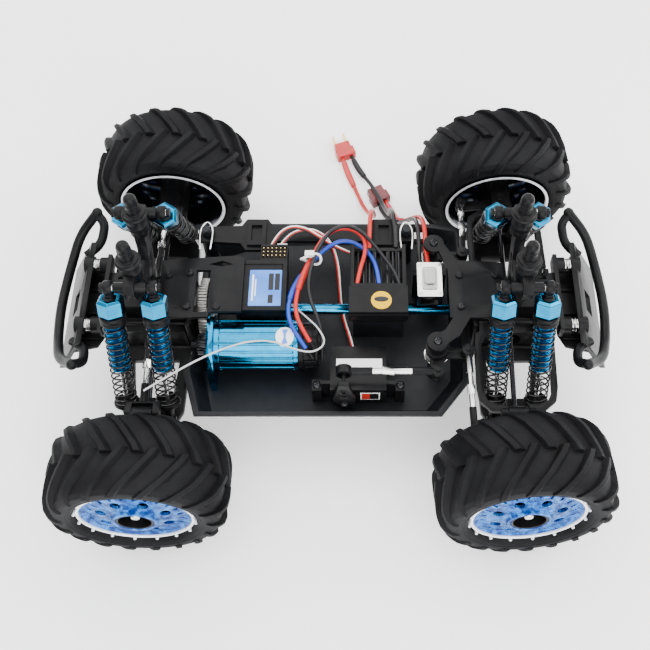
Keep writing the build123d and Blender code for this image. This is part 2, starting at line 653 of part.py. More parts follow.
def make_tower():
    """Shock tower of the front end, with the pins that carry the four shock eyes."""
    half = [
        (12, DECK_Z[0]), (15, 104), (19, 118), (25, 134), (34.5, 147), (36, 155), (33, 161), (26, 162),
        (23, 156), (23, 151), (13, 151), (12, 140), (9, 128),
    ]
    outline = half + [(-y, z) for y, z in reversed(half)]
    tower = cross_plate(outline, (AXLE_X - 3.5, AXLE_X + 3.5))
    for y, z, radius in ((0, 112, 5.5), (13.5, 126, 3.0), (-13.5, 126, 3.0)):
        tower -= rod((AXLE_X - 5, y, z), (AXLE_X + 5, y, z), radius)
    for side in (1, -1):
        y = side * SHOCK_TOP[0]
        z = SHOCK_TOP[1]
        span = SHOCK_HALF_X + 5.5
        tower += rod((AXLE_X - span, y, z), (AXLE_X + span, y, z), 2.0)
        for side_x in (1, -1):
            head = AXLE_X + side_x * (SHOCK_HALF_X + 3.3)
            spacer_end = AXLE_X + side_x * (SHOCK_HALF_X - 3.8)
            tower += rod((head, y, z), (head + side_x * 2.2, y, z), 3.2)
            tower += rod((AXLE_X + side_x * 3.5, y, z), (spacer_end, y, z), 3.6)
        post_y = side * BODY_POST_Y
        tower += rod((AXLE_X, post_y, 150), (AXLE_X, post_y, 156), 6.5)
        tower += rod((AXLE_X, post_y, 152), (AXLE_X, post_y, 169), 3.6)
        tower += rod((AXLE_X, post_y, 168), (AXLE_X, post_y, 173), 7.2)
        tower += rod((AXLE_X, post_y, 172), (AXLE_X, post_y, POST_TOP_Z - POST_R), POST_R)
        tower += Pos(AXLE_X, post_y, POST_TOP_Z - POST_R) * Sphere(POST_R)
    return tower


def make_bumper():
    """Front bumper: sloping plate, ribs, outer bars with loops and two sprung posts."""
    slab = side_plate([(174, 101), (178, 101), (199, 62), (195, 62)], (-42, 42))
    slab -= side_plate([(160, 90), (215, 90), (215, 78), (160, 78)], (-9, 9))
    bar, _, _ = bent_tube(
        [(175, 63, 109), (189, 52, 96), (196, 30, 84), (199, 8, 80), (199, -8, 80), (196, -30, 84),
         (189, -52, 96), (175, -63, 109)],
        3.6,
    )
    bumper = slab + bar
    for side in (1, -1):
        loop, _, _ = bent_tube(
            [(175.5, side * 62.5, 108.5), (170, side * 58, 102), (172, side * 44, 96), (183, side * 36, 92)],
            3.4,
        )
        bumper += loop
        bumper += Pos(175, side * 63, 109) * Sphere(3.9)
        bumper += rod((174, side * 25, 96), (181, side * 25, 96), 6.4)
    posts = []
    for side in (1, -1):
        y = side * 25
        posts.append(rod((163.5, y, 96), (169.5, y, 96), 6.0) + rod((169, y, 96), (174, y, 96), 3.0))
    bracket = block((161, 164), (-31, 31), (90, 102))
    return bumper, [posts[0] + bracket + posts[1]]


# ---------------------------------------------------------------- electronics
def make_esc():
    """Speed controller: case with a finned well, and its switch on a plate."""
    case = block((13, 54), (-16, 42), (84, 99))
    case -= block((16, 51), (8, 39), (87, 100))
    case -= block((16, 51), (8, 43), (94, 100))
    for index in range(6):
        x = 19 + 5.6 * index
        case += block((x - 0.8, x + 0.8), (9, 40), (86.5, 94))
    case += block((12, 55), (-15, -2), (84, 95))
    switch_plate = block((62, 80), (-1, 28), (94, 95.4)) - block((67, 75), (7, 21), (93, 97))
    switch_case = block((65, 77), (5, 23), (84, 94)) - block((67.5, 74.5), (7, 21), (87, 96))
    bracket = block((62, 80), (-1, 28), (82, 84.0)) + block((62, 64.5), (-1, 28), (83.5, 94))
    bracket += block((77.5, 80), (-1, 28), (83.5, 94)) + block((60, 84), (24, 28), (FLOOR_Z[1], 84))
    return case, switch_plate + switch_case + bracket


def make_switch_slider():
    """Switch knob, which slides along Y in its case."""
    return block((68.6, 73.4), (7.8, 14.8), (87.6, 98))


def make_receiver():
    """Radio receiver with its connector block."""
    body = block((-69, -33), (-14, 28), (84, 98))
    body -= block((-66, -36), (-11, 25), (97.4, 99))
    body += block((-53, -33.5), (27, 43.5), (84, 95))
    return body


def make_servo():
    """Steering servo lying on its side, with the mounting ears."""
    body = block((-1, 39), (-66, -31), (55, 75))
    body += block((-8, 46), (-61, -58.5), (FLOOR_Z[1], 75))
    body += rod((HORN_AXIS[0], -68.2, HORN_AXIS[1]), (HORN_AXIS[0], -65.5, HORN_AXIS[1]), 6.0)
    body += block((-14, -7), (-65, -56), (FLOOR_Z[1], 72)) + block((45.5, 52), (-65, -56), (FLOOR_Z[1], 72))
    return body


def make_horn():
    """Servo horn with its ball stud."""
    x, z = HORN_AXIS
    horn = side_plate(
        [(x - 8, z - 1), (x - 8, z + 7), (x - 5, z + 20), (x - 3.5, z + 29), (x + 3.5, z + 29),
         (x + 5, z + 20), (x + 8, z + 7), (x + 8, z - 1), (x + 4, z - 5), (x - 4, z - 5)],
        (-72, -68.5),
    )
    horn += rod((x, -73.4, z), (x, -71, z), 3.2)
    horn += rod((x, -69, LINK_Z), (x, LINK_Y, LINK_Z), 1.3) + Pos(x, LINK_Y, LINK_Z) * Sphere(2.4)
    for lift in (12, 17):
        horn -= rod((x, -80, z + lift), (x, -60, z + lift), 1.3)
    return horn


def make_servo_link():
    """Turnbuckle from the servo horn to the steering bellcrank, with its rod ends."""
    x0 = HORN_AXIS[0]
    ring = pipe((x0, LINK_Y - 3.0, LINK_Z), (x0, LINK_Y + 3.0, LINK_Z), 5.6, 4.1)
    link = ring + rod((x0 + 4.9, LINK_Y, LINK_Z), (x0 + 20, LINK_Y, LINK_Z), 2.8)
    link += rod((x0 + 18, LINK_Y, LINK_Z), (CRANK_X - 16, LINK_Y, LINK_Z), 2.2)
    link += hexagon((36, LINK_Y, LINK_Z), (44, LINK_Y, LINK_Z), 3.4)
    link += rod((CRANK_X - 18, LINK_Y, LINK_Z), (CRANK_X - 3, LINK_Y, LINK_Z), 2.8)
    end = Pos(CRANK_X, LINK_Y, LINK_Z) * Cylinder(4.6, 5.0)
    stud = rod((CRANK_X, LINK_Y, 87.6), (CRANK_X, LINK_Y, LINK_Z + 4), 2.0)
    return link + end + stud


def make_crank(side):
    """Steering bellcrank on its post; the right one also carries the servo saver's arm."""
    sign = SIDES[side]
    y = sign * CRANK_Y
    crank = Pos(CRANK_X, y, 84.2) * Cylinder(7.0, 5.6)
    forward = flat_plate(
        [(CRANK_X, y - 5), (CRANK_X + CRANK_ARM, y - 3.6), (CRANK_X + CRANK_ARM, y + 3.6), (CRANK_X, y + 5)],
        (84, 86),
    )
    crank += forward + Pos(CRANK_X + CRANK_ARM, y, 85) * Cylinder(4.2, 2.0)
    if side == "right":
        crank += Pos(CRANK_X, y, 89.5) * Cylinder(8.0, 5.0)
    crank -= rod((CRANK_X, y, 70), (CRANK_X, y, 100), 3.0 + FIT)
    crank -= rod((CRANK_X + CRANK_ARM, y, 70), (CRANK_X + CRANK_ARM, y, 100), 2.0 + FIT)
    crank = crank.rotate(Axis((CRANK_X, y, 0), (0, 0, 1)), CRANK_REST)
    if side == "right":
        saver = flat_plate(
            [(CRANK_X - 6, y), (CRANK_X - 4, LINK_Y), (CRANK_X + 4, LINK_Y), (CRANK_X + 6, y)],
            (84, 87),
        )
        saver += Pos(CRANK_X, LINK_Y, 85.5) * Cylinder(4.6, 3.0)
        crank += saver - rod((CRANK_X, y, 70), (CRANK_X, y, 100), 3.0 + FIT)
    return crank


def crank_end(sign):
    """Pivot at a bellcrank's forward end, at the rest angle of the steering."""
    angle = math.radians(CRANK_REST)
    return CRANK_X + CRANK_ARM * math.cos(angle), sign * CRANK_Y + CRANK_ARM * math.sin(angle)


def make_drag_link():
    """Drag link under the bellcranks' forward ends, with its two pivot pins."""
    left = crank_end(1)
    right = crank_end(-1)
    x = left[0]
    link = block((x - 3.4, x + 3.0), (right[1], left[1]), (80.2, 83.6))
    for point in (left, right):
        link += Pos(point[0], point[1], 81.9) * Cylinder(3.8, 3.4)
        link += rod((point[0], point[1], 83), (point[0], point[1], 86.6), 2.0)
    return link


def make_tie_rod(side):
    """Tie rod from the drag link's end to the knuckle's arm, with both ball studs."""
    sign = SIDES[side]
    inner = Vector(*crank_end(sign), LINK_Z)
    pin = hub_point("front", KNUCKLE_ARM[0], KNUCKLE_ARM[1], 13)
    pad = steer(Pos(pin.X, sign * pin.Y, pin.Z) * Sphere(0.5), "front", side).center()
    outer = Vector(pad.X, pad.Y, pad.Z + 4.6)
    along = (outer - inner).normalized()
    body = Pos(*inner) * Cylinder(4.4, 4.6) + Pos(*outer) * Cylinder(3.9, 4.6)
    body += rod(inner + along * 3, inner + along * 16, 2.6)
    body += rod(inner + along * 15, outer - along * 15, 2.0)
    middle = inner + (outer - inner) * 0.5
    body += hexagon(middle - along * 3.5, middle + along * 3.5, 3.2)
    body += rod(outer - along * 16, outer - along * 3, 2.6)
    body += rod((inner.X, inner.Y, 88.2), (inner.X, inner.Y, LINK_Z + 3.4), 1.7)
    body += rod((outer.X, outer.Y, outer.Z - 3.5), (outer.X, outer.Y, outer.Z + 3.4), 1.7)
    return body


# ---------------------------------------------------------------- free cords and plugs
BATTERY_RED = [
    (27, 42.4, 92.5), (27, 50, 95), (27.5, 60, 97), (28, 72, 95), (29, 84, 84), (31, 96, 62),
    (32, 110, 38), (29, 126, 17), (23, 142, 6), (18, 158, 2.4), (12, 174, 2.2), (7, 187, 2.8), (4, 198, 4.2),
]
BATTERY_BLACK = [
    (46.5, 42.4, 93.5), (46.5, 50, 96), (46, 60, 98), (45, 72, 96), (43.5, 84, 85), (43, 98, 61),
    (44, 114, 35), (41, 132, 19), (36, 148, 13.6), (30, 163, 10.5), (23, 178, 4.6), (16.5, 190, 3.2),
    (12, 201, 4.2),
]
SPARE_RED = [
    (70.5, 28.8, 90), (69.2, 40, 92), (69, 54, 92), (68.6, 68, 89), (66.5, 82, 78), (62, 96, 56),
    (57, 110, 32), (52, 124, 12), (47, 138, 4.6), (42, 151, 4.2),
]
SPARE_BLACK = [
    (65, 28.8, 88), (64.2, 40, 90), (64.2, 54, 90.5), (64, 68, 88), (62, 82, 76), (58, 96, 52),
    (53, 110, 29), (47, 124, 11), (41, 137, 4.6), (36, 148, 4.2),
]
MOTOR_RED = [
    (18, 8.6, 96.3), (20, 20, 98), (24, 32, 101), (24, 44, 103), (15, 53, 103), (2, 54, 102), (-8, 45, 101),
    (-15, 30, 100), (-21, 14, 99.5), (-25, -1, 100), (-26, -15, 100), (-22, -27, 97.5),
    (-15, -36.5, 92),
]
MOTOR_BLUE = [
    (34, 8.6, 96.3), (33, 20, 97), (29, 32, 97.5), (20, 42, 97.5), (8, 47, 97), (-3, 42, 96.5),
    (-13, 31, 96.5), (-22, 17, 96.5), (-28.5, 3, 97), (-31, -10, 98), (-30.5, -21, 98),
    (-25.5, -31.5, 95.5), (-18, -40, 89),
]
MOTOR_BLACK = [
    (48.8, 8.6, 96.3), (45.5, 18, 98.5), (38, 28, 101.5), (30, 38, 105), (21, 48, 107),
    (10, 54, 106.5), (-1, 50, 105.5), (-9, 38, 105), (-14, 24, 104.5), (-17, 9, 104),
    (-16, -6, 103.5), (-11, -19, 101.5), (-6.5, -30, 96), (-6.5, -39, 88),
]
SERVO_LEAD = [
    (-40, 43.9, 90), (-36, 50, 93), (-28, 56, 94.5), (-17, 58, 94.5), (-8, 54, 93), (-1, 46, 90.5),
    (3, 34, 83), (4, 23, 72), (5, 11, 63), (8, -3, 60.5), (12, -16, 61.5), (15, -29.8, 64),
]
ESC_LEAD = [
    (-46, 43.9, 91), (-42, 51, 95.5), (-33, 57, 99.5), (-21, 55, 100.5), (-10, 48, 98.5),
    (1, 42.5, 94), (12.2, 39, 91),
]
ANTENNA = [
    (-32, -4, 91), (-26, -9, 92), (-17, -19, 95), (-9, -29, 99), (-3, -41, 98.5), (-12, -49, 99),
    (-26, -47, 101),
    (-40, -41, 102), (-56, -42, 104), (-72, -49, 107), (-88, -60, 112), (-104, -74, 118), (-120, -90, 125),
]

CORDS = {
    "power_leads": [(BATTERY_RED, 1.8), (BATTERY_BLACK, 1.8), (SPARE_RED, 1.8), (SPARE_BLACK, 1.8)],
    "wiring": [
        (MOTOR_RED, 1.6), (MOTOR_BLUE, 1.6), (MOTOR_BLACK, 1.6),
        (SERVO_LEAD, 1.5), (ESC_LEAD, 1.5), (ANTENNA, 0.8),
    ],
}


def make_cord(name):
    """Tubes of one group of cords; prints each one's length, radii and volume ratio."""
    tubes = []
    for route, radius in CORDS[name]:
        tube, radii, length = bent_tube(route, radius)
        ratio = tube.volume / (math.pi * radius**2 * length)
        least = min(radii)
        print(f"{name}: length {length:.1f}, least radius {least:.1f}, volume ratio {ratio:.3f}")
        tubes.append(tube)
    return tubes


def make_plug(red_end, black_end, blades):
    """Flat two-pole plug at the ends of a red and a black lead."""
    left, right = sorted((Vector(*red_end), Vector(*black_end)), key=lambda point: point.X)
    across = Vector(right.X - left.X, right.Y - left.Y, 0).normalized()
    middle = (left + right) * 0.5
    plane = Plane(origin=(middle.X, middle.Y, 0), x_dir=across, z_dir=(0, 0, 1))
    body = plane.location * block((-8.5, 8.5), (0, 9), (0.1, 8.4))
    body += plane.location * block((-7, 7), (8, 16), (0.8, 7.8))
    pins = []
    if blades:
        for x in (-5, 5):
            pins.append(plane.location * block((x - 0.7, x + 0.7), (16, 26), (1.8, 6.8)))
    return body, pins


# ---------------------------------------------------------------- build everything
def build_corners():
    """Write the nodes of all four corners."""
    springs = [make_spring(side_x) for side_x in (1, -1)]
    for end in ENDS:
        rim, axle, nut = make_wheel()
        tyre = lean_hub(make_tyre(), end)
        wheel = [lean_hub(piece, end) for piece in (rim, axle, nut)]
        carrier = lean_hub(make_carrier(end), end)
        knuckle = lean_hub(make_knuckle(), end)
        lower = make_lower_arm(end)
        upper = make_upper_arm(end) if end == "front" else make_upper_link(end)
        bodies = [make_shock_body(side_x) for side_x in (1, -1)]
        shafts = [make_shock_shaft(side_x) for side_x in (1, -1)]
        dogbone = make_dogbone(end)
        upper_name = "upper_arm" if end == "front" else "upper_link"
        for side in SIDES:
            place = lambda shape: to_corner(shape, end, side)
            turn = lambda shape: steer(to_corner(shape, end, side), end, side)
            corner = f"{end}_{side}"
            write(f"{corner}_tyre", turn(tyre))
            write(f"{corner}_wheel", *[turn(piece) for piece in wheel])
            write(f"{corner}_hub_carrier", place(carrier))
            if end == "front":
                write(f"{corner}_knuckle", turn(knuckle))
            write(f"{corner}_lower_arm", place(lower))
            write(f"{corner}_{upper_name}", place(upper))
            write(f"{corner}_shock_bodies", *[place(piece) for piece in bodies])
            write(f"{corner}_shock_shafts", *[place(piece) for piece in shafts])
            write(f"{corner}_springs", *[place(piece) for piece in springs])
            write(f"{corner}_drive_shaft", place(dogbone))


def build_centre():
    """Write the chassis, the drive line, the steering and the electronics."""
    write("chassis_tub", make_chassis(), *make_stands())
    write("battery_strap", *make_strap())
    boxes = []
    for end in ENDS:
        box, pins = make_gearbox(end)
        boxes += [to_corner(piece, end, "left") for piece in (box, *pins)]
    write("gearboxes", *boxes, make_front_deck(), make_rear_deck())
    write("shock_towers", make_tower(), mirror(make_tower(), about=Plane.YZ))
    bumper, posts = make_bumper()
    pieces = [bumper, *posts]
    write("bumpers", *pieces, *[mirror(piece, about=Plane.YZ) for piece in pieces])
    write("motor", *make_motor())
    write("pinion_gear", make_pinion())
    write("spur_gear_and_shaft", make_spur())
    write("speed_controller", *make_esc())
    write("switch_slider", make_switch_slider())
    write("receiver", make_receiver())
    write("servo", make_servo())
    write("servo_horn", make_horn())
    write("servo_link", make_servo_link())
    write("drag_link", make_drag_link())
    for side in SIDES:
        write(f"{side}_bellcrank", make_crank(side))
        write(f"{side}_tie_rod", make_tie_rod(side))


def build_cords():
    """Write the free cords and the plugs on them."""
    for name in CORDS:
        write(name, *make_cord(name))
    plugs = []
    for red, black, blades in ((BATTERY_RED, BATTERY_BLACK, True), (SPARE_RED, SPARE_BLACK, False)):
        body, pins = make_plug(red[-1], black[-1], blades)
        plugs += [body, *pins]
    write("plugs", *plugs)


os.makedirs("parts", exist_ok=True)
build_corners()
build_centre()
build_cords()
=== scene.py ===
import bmesh
import bpy
import json
import math
from mathutils import Matrix, Vector


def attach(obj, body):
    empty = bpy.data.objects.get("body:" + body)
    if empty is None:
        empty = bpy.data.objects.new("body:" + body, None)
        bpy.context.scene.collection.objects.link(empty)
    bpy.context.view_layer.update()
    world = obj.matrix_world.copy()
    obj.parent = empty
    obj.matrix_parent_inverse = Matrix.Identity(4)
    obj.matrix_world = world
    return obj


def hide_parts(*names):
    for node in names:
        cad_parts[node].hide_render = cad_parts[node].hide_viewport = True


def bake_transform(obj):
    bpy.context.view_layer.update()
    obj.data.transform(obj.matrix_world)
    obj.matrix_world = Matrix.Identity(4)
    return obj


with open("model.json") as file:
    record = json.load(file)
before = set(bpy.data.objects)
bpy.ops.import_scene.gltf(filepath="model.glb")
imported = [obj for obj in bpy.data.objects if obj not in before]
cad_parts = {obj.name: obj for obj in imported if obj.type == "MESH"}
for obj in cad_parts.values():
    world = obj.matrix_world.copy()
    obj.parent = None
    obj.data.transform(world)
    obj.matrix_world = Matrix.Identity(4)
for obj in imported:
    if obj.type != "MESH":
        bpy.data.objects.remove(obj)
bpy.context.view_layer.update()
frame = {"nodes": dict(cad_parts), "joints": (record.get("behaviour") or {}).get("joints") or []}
joints = {joint["name"]: joint for joint in frame["joints"]}

MM = 0.001
CORNERS = ("front_left", "front_right", "rear_left", "rear_right")
SHOCK_HALF_X = 14.5 * MM
MOTOR_Y = -30.0
MOTOR_Z = 75.0
MOTOR_R = 18.0
EYE_TO_EYE = 110.46
DECK_Z = 101.5
RECEIVER_LABEL_Z = 97.55


# ------------------------------------------------------------------ camera, floor and light
def make_camera():
    """Camera over the truck's right side, looking down on it."""
    data = bpy.data.cameras.new("camera")
    data.lens = 54.38
    data.sensor_width = 36.0
    data.shift_x = -0.0596
    data.shift_y = -0.0394
    camera = bpy.data.objects.new("camera", data)
    camera.location = (0.0229, -0.3637, 0.7037)
    camera.rotation_euler = (math.radians(30.62), 0, 0)
    bpy.context.scene.collection.objects.link(camera)
    bpy.context.scene.camera = camera


def area_light(name, place, target, size, power):
    """Square soft light at a place, aimed at a target."""
    data = bpy.data.lights.new(name, "AREA")
    data.size = size
    data.energy = power
    light = bpy.data.objects.new(name, data)
    light.location = place
    light.rotation_euler = (Vector(target) - Vector(place)).to_track_quat("-Z", "Y").to_euler()
    bpy.context.scene.collection.objects.link(light)


def make_studio():
    """Pale floor, surroundings that grow brighter upwards, and three soft lights."""
    world = bpy.data.worlds.new("studio")
    world.use_nodes = True
    nodes = world.node_tree.nodes
    links = world.node_tree.links
    background = nodes["Background"]
    background.inputs["Strength"].default_value = 1.55
    place = nodes.new("ShaderNodeTexCoord")
    parts = nodes.new("ShaderNodeSeparateXYZ")
    sky = nodes.new("ShaderNodeValToRGB")
    sky.color_ramp.elements[0].position = 0.05
    sky.color_ramp.elements[0].color = (0.38, 0.39, 0.41, 1)
    sky.color_ramp.elements[1].position = 0.62
    sky.color_ramp.elements[1].color = (1.0, 1.0, 1.0, 1)
    links.new(place.outputs["Generated"], parts.inputs["Vector"])
    links.new(parts.outputs["Z"], sky.inputs["Fac"])
    links.new(sky.outputs["Color"], background.inputs["Color"])
    bpy.context.scene.world = world
    area_light("key", (-0.35, 0.55, 1.1), (0, 0, 0.05), 2.0, 34)
    area_light("front", (0.3, -1.2, 0.9), (0, 0, 0.05), 1.6, 36)
    area_light("side", (1.1, 0.3, 0.8), (0, 0, 0.05), 1.0, 16)
    mesh = bpy.data.meshes.new("floor")
    mesh.from_pydata([(-6, -6, 0), (6, -6, 0), (6, 6, 0), (-6, 6, 0)], [], [(0, 1, 2, 3)])
    floor = bpy.data.objects.new("floor", mesh)
    paper = surface("floor_paper", (0.93, 0.93, 0.93), (0.915, 0.915, 0.92), 0.8, grain=60, gloss=0.1)
    shader = paper.node_tree.nodes["Principled BSDF"]
    shader.inputs["Emission Color"].default_value = (1, 1, 1, 1)
    shader.inputs["Emission Strength"].default_value = 0.45
    floor.data.materials.append(paper)
    bpy.context.scene.collection.objects.link(floor)


# ------------------------------------------------------------------ materials
def surface(
    name, colour, shade, rough, metal=0.0, grain=900.0, bump=0.05, depth=0.0002, spread=0.12,
    clear=0.0, gloss=0.5, sharp=0.12,
):
    """Material whose colour drifts between two tones, with a grain in its roughness and bump.

    Grain is the fine noise's scale, depth the bump's height in metres, spread the roughness's drift,
    clear the transmission, gloss the specular level and sharp the half-width of the tones' border.
    """
    material = bpy.data.materials.new(name)
    material.use_nodes = True
    nodes = material.node_tree.nodes
    links = material.node_tree.links
    shader = nodes["Principled BSDF"]
    shader.inputs["Metallic"].default_value = metal
    shader.inputs["Specular IOR Level"].default_value = gloss
    shader.inputs["Transmission Weight"].default_value = clear
    place = nodes.new("ShaderNodeTexCoord")
    broad = nodes.new("ShaderNodeTexNoise")
    broad.inputs["Scale"].default_value = grain * 0.06
    broad.inputs["Detail"].default_value = 4
    fine = nodes.new("ShaderNodeTexNoise")
    fine.inputs["Scale"].default_value = grain
    fine.inputs["Detail"].default_value = 3
    links.new(place.outputs["Object"], broad.inputs["Vector"])
    links.new(place.outputs["Object"], fine.inputs["Vector"])
    tones = nodes.new("ShaderNodeValToRGB")
    tones.color_ramp.elements[0].position = 0.5 - sharp
    tones.color_ramp.elements[0].color = (*shade, 1)
    tones.color_ramp.elements[1].position = 0.5 + sharp
    tones.color_ramp.elements[1].color = (*colour, 1)
    links.new(broad.outputs["Fac"], tones.inputs["Fac"])
    links.new(tones.outputs["Color"], shader.inputs["Base Color"])
    polish = nodes.new("ShaderNodeMapRange")
    polish.inputs["To Min"].default_value = max(0.02, rough - spread)
    polish.inputs["To Max"].default_value = min(1.0, rough + spread)
    links.new(fine.outputs["Fac"], polish.inputs["Value"])
    links.new(polish.outputs["Result"], shader.inputs["Roughness"])
    relief = nodes.new("ShaderNodeBump")
    relief.inputs["Strength"].default_value = bump
    relief.inputs["Distance"].default_value = depth
    links.new(fine.outputs["Fac"], relief.inputs["Height"])
    links.new(relief.outputs["Normal"], shader.inputs["Normal"])
    return material


def make_materials():
    """All the finishes of the truck."""
    return {
        "rubber": surface(
            "tyre_rubber", (0.0068, 0.0068, 0.0078), (0.0035, 0.0035, 0.004), 0.62,
            grain=700, bump=0.4, gloss=0.1,
        ),
        "plastic": surface(
            "black_nylon", (0.0055, 0.0055, 0.006), (0.0035, 0.0035, 0.004), 0.38,
            grain=1400, bump=0.25, gloss=0.13,
        ),
        "satin": surface(
            "case_black", (0.005, 0.005, 0.0055), (0.003, 0.003, 0.0035), 0.32,
            grain=2500, bump=0.3, gloss=0.14,
        ),
        "tray": surface(
            "tub_black", (0.0055, 0.0065, 0.0085), (0.0035, 0.0042, 0.0055), 0.45,
            grain=1800, bump=0.5, gloss=0.22,
        ),
        "cyan": surface(
            "cyan_anodised", (0.0, 0.225, 0.42), (0.0, 0.185, 0.36), 0.16, metal=1.0, grain=2600, bump=0.01,
            spread=0.04,
        ),
        "body_blue": surface(
            "blue_anodised", (0.0, 0.13, 0.29), (0.0, 0.085, 0.21), 0.2, metal=0.95, grain=1500, bump=0.02
        ),
        # Blue plating mottled between a bright and a deep blue: the mottle is painted reflection of the
        # surroundings in the plated dish.
        "dish_blue": surface(
            "blue_plating", (0.05, 0.24, 0.66), (0.0, 0.04, 0.24), 0.1, metal=1.0, grain=3400, bump=0.9,
            depth=0.0007, spread=0.05, sharp=0.1,
        ),
        "plating": surface(
            "bright_plating", (0.93, 0.93, 0.95), (0.85, 0.86, 0.9), 0.2, metal=0.35, grain=300, bump=0.05,
            spread=0.05,
        ),
        # Plating painted darker: painted shade for the insides of the hollow wheels, where the back faces
        # and barrels sit in shade.
        "shaded_plating": surface(
            "shaded_plating", (0.035, 0.04, 0.045), (0.02, 0.02, 0.025), 0.12,
            metal=0.9, grain=400, bump=0.3, spread=0.05,
        ),
        "steel": surface(
            "bright_steel", (0.80, 0.79, 0.77), (0.66, 0.65, 0.64), 0.18, metal=1.0, bump=0.05
        ),
        "spring": surface(
            "spring_black", (0.006, 0.006, 0.006), (0.004, 0.004, 0.004), 0.18, metal=0.3, grain=800
        ),
        "screw": surface("blackened_steel", (0.03, 0.03, 0.033), (0.015, 0.015, 0.017), 0.2, metal=0.85),
        "red_wire": surface(
            "red_silicone", (0.50, 0.016, 0.008), (0.40, 0.010, 0.006), 0.38, bump=0.1, gloss=0.4
        ),
        "blue_wire": surface(
            "blue_silicone", (0.010, 0.050, 0.40), (0.008, 0.035, 0.32), 0.38, bump=0.1, gloss=0.4
        ),
        "black_wire": surface(
            "black_silicone", (0.008, 0.008, 0.009), (0.005, 0.005, 0.006), 0.36, bump=0.1, gloss=0.3
        ),
        "white_wire": surface("white_vinyl", (0.85, 0.83, 0.80), (0.76, 0.74, 0.72), 0.4, bump=0.1),
        "grey_wire": surface("grey_vinyl", (0.50, 0.50, 0.50), (0.42, 0.42, 0.42), 0.4, bump=0.1),
        "sleeve_red": surface("shrink_red", (0.56, 0.030, 0.045), (0.46, 0.022, 0.034), 0.3, bump=0.1),
        "plug_red": surface(
            "plug_nylon", (0.50, 0.020, 0.018), (0.40, 0.014, 0.012), 0.33, grain=1200, bump=0.15
        ),
        # Darker red for the plugs: painted shade on the plug that lies under the battery lead.
        "plug_red_shaded": surface(
            "plug_red_painted_shade", (0.17, 0.020, 0.024), (0.12, 0.014, 0.016), 0.36, grain=1200, bump=0.15
        ),
        "gold": surface(
            "gold_contact", (0.85, 0.62, 0.25), (0.75, 0.52, 0.2), 0.25, metal=1.0, grain=800
        ),
        "label": surface("label_white", (0.88, 0.88, 0.88), (0.83, 0.83, 0.83), 0.45, grain=700),
        "label_blue": surface(
            "label_blue", (0.09, 0.26, 0.72), (0.05, 0.16, 0.55), 0.4, grain=500, gloss=0.2
        ),
        "label_yellow": surface(
            "label_yellow", (0.72, 0.44, 0.0), (0.68, 0.39, 0.0), 0.5, grain=500, gloss=0.05
        ),
        "label_red": surface("label_red", (0.45, 0.02, 0.012), (0.36, 0.015, 0.01), 0.4, grain=500),
        "boot": surface(
            "clear_rubber", (0.80, 0.80, 0.76), (0.70, 0.70, 0.66), 0.2, grain=600, clear=0.5
        ),
        "gear": surface("gear_grey", (0.34, 0.33, 0.31), (0.22, 0.21, 0.20), 0.32, metal=0.8, grain=900),
    }


# ------------------------------------------------------------------ mesh helpers
class Shape:
    """Vertices and faces that grow as solids are added, in millimetres until they are made."""

    def __init__(self):
        self.points = []
        self.faces = []

    def add(self, points, faces, matrix=None):
        """Add a solid, moved by a matrix where one is given."""
        base = len(self.points)
        for point in points:
            point = Vector(point)
            self.points.append(matrix @ point if matrix else point)
        flip = matrix is not None and matrix.determinant() < 0
        for face in faces:
            face = [base + index for index in face]
            self.faces.append(face[::-1] if flip else face)
        return self

    def merge(self, other, matrix=None):
        """Add another shape."""
        return self.add(other.points, other.faces, matrix)


def ring_faces(rows, count, closed_rows=False):
    """Quads between successive rows of count points each, the rows being loops."""
    faces = []
    last = rows if closed_rows else rows - 1
    for row in range(last):
        after = (row + 1) % rows
        for index in range(count):
            nxt = (index + 1) % count
            low, high = row * count, after * count
            faces.append((low + index, low + nxt, high + nxt, high + index))
    return faces


def lathe(profile, segments=64, axis="Y"):
    """Solid of revolution about an axis through the origin; the loop holds (along, radius)."""
    points = []
    for along, radius in profile:
        for index in range(segments):
            angle = math.tau * index / segments
            a = radius * math.cos(angle)
            b = radius * math.sin(angle)
            points.append({"X": (along, a, b), "Y": (b, along, a), "Z": (a, b, along)}[axis])
    return Shape().add(points, ring_faces(len(profile), segments, True))


def prism(outline, low, high, axis="Z"):
    """Solid with an outline across an axis, between two places along it."""
    count = len(outline)
    points = []
    for end in (low, high):
        points += [{"X": (end, a, b), "Y": (b, end, a), "Z": (a, b, end)}[axis] for a, b in outline]
    faces = [tuple(range(count))[::-1], tuple(range(count, 2 * count))]
    for index in range(count):
        nxt = (index + 1) % count
        faces.append((index, nxt, count + nxt, count + index))
    return Shape().add(points, faces)


def brick(x, y, z):
    """Box between limits."""
    return prism([(x[0], y[0]), (x[1], y[0]), (x[1], y[1]), (x[0], y[1])], z[0], z[1])


def rounded(half_x, half_y, corner, steps=5):
    """Outline of a rectangle with round corners, about the origin."""
    outline = []
    for turn, (sx, sy) in enumerate(((1, 1), (-1, 1), (-1, -1), (1, -1))):
        for step in range(steps + 1):
            angle = math.pi / 2 * (turn + step / steps)
            outline.append((
                sx * (half_x - corner) + corner * math.cos(angle),
                sy * (half_y - corner) + corner * math.sin(angle),
            ))
    return outline


def sweep(path, radius, sides=10, taper=None):
    """Tube along a path of points; taper gives a factor on the radius from the share of the way."""
    path = [Vector(point) for point in path]
    normal = None
    points = []
    for index, point in enumerate(path):
        before = path[max(index - 1, 0)]
        after = path[min(index + 1, len(path) - 1)]
        along = (after - before).normalized()
        if normal is None:
            normal = along.orthogonal().normalized()
        normal = (normal - along * normal.dot(along)).normalized()
        across = along.cross(normal)
        size = radius * (taper(index / (len(path) - 1)) if taper else 1.0)
        for side in range(sides):
            angle = math.tau * side / sides
            points.append(point + normal * (size * math.cos(angle)) + across * (size * math.sin(angle)))
    faces = ring_faces(len(path), sides)
    faces.append(tuple(range(sides))[::-1])
    start = (len(path) - 1) * sides
    faces.append(tuple(range(start, start + sides)))
    return Shape().add(points, faces)


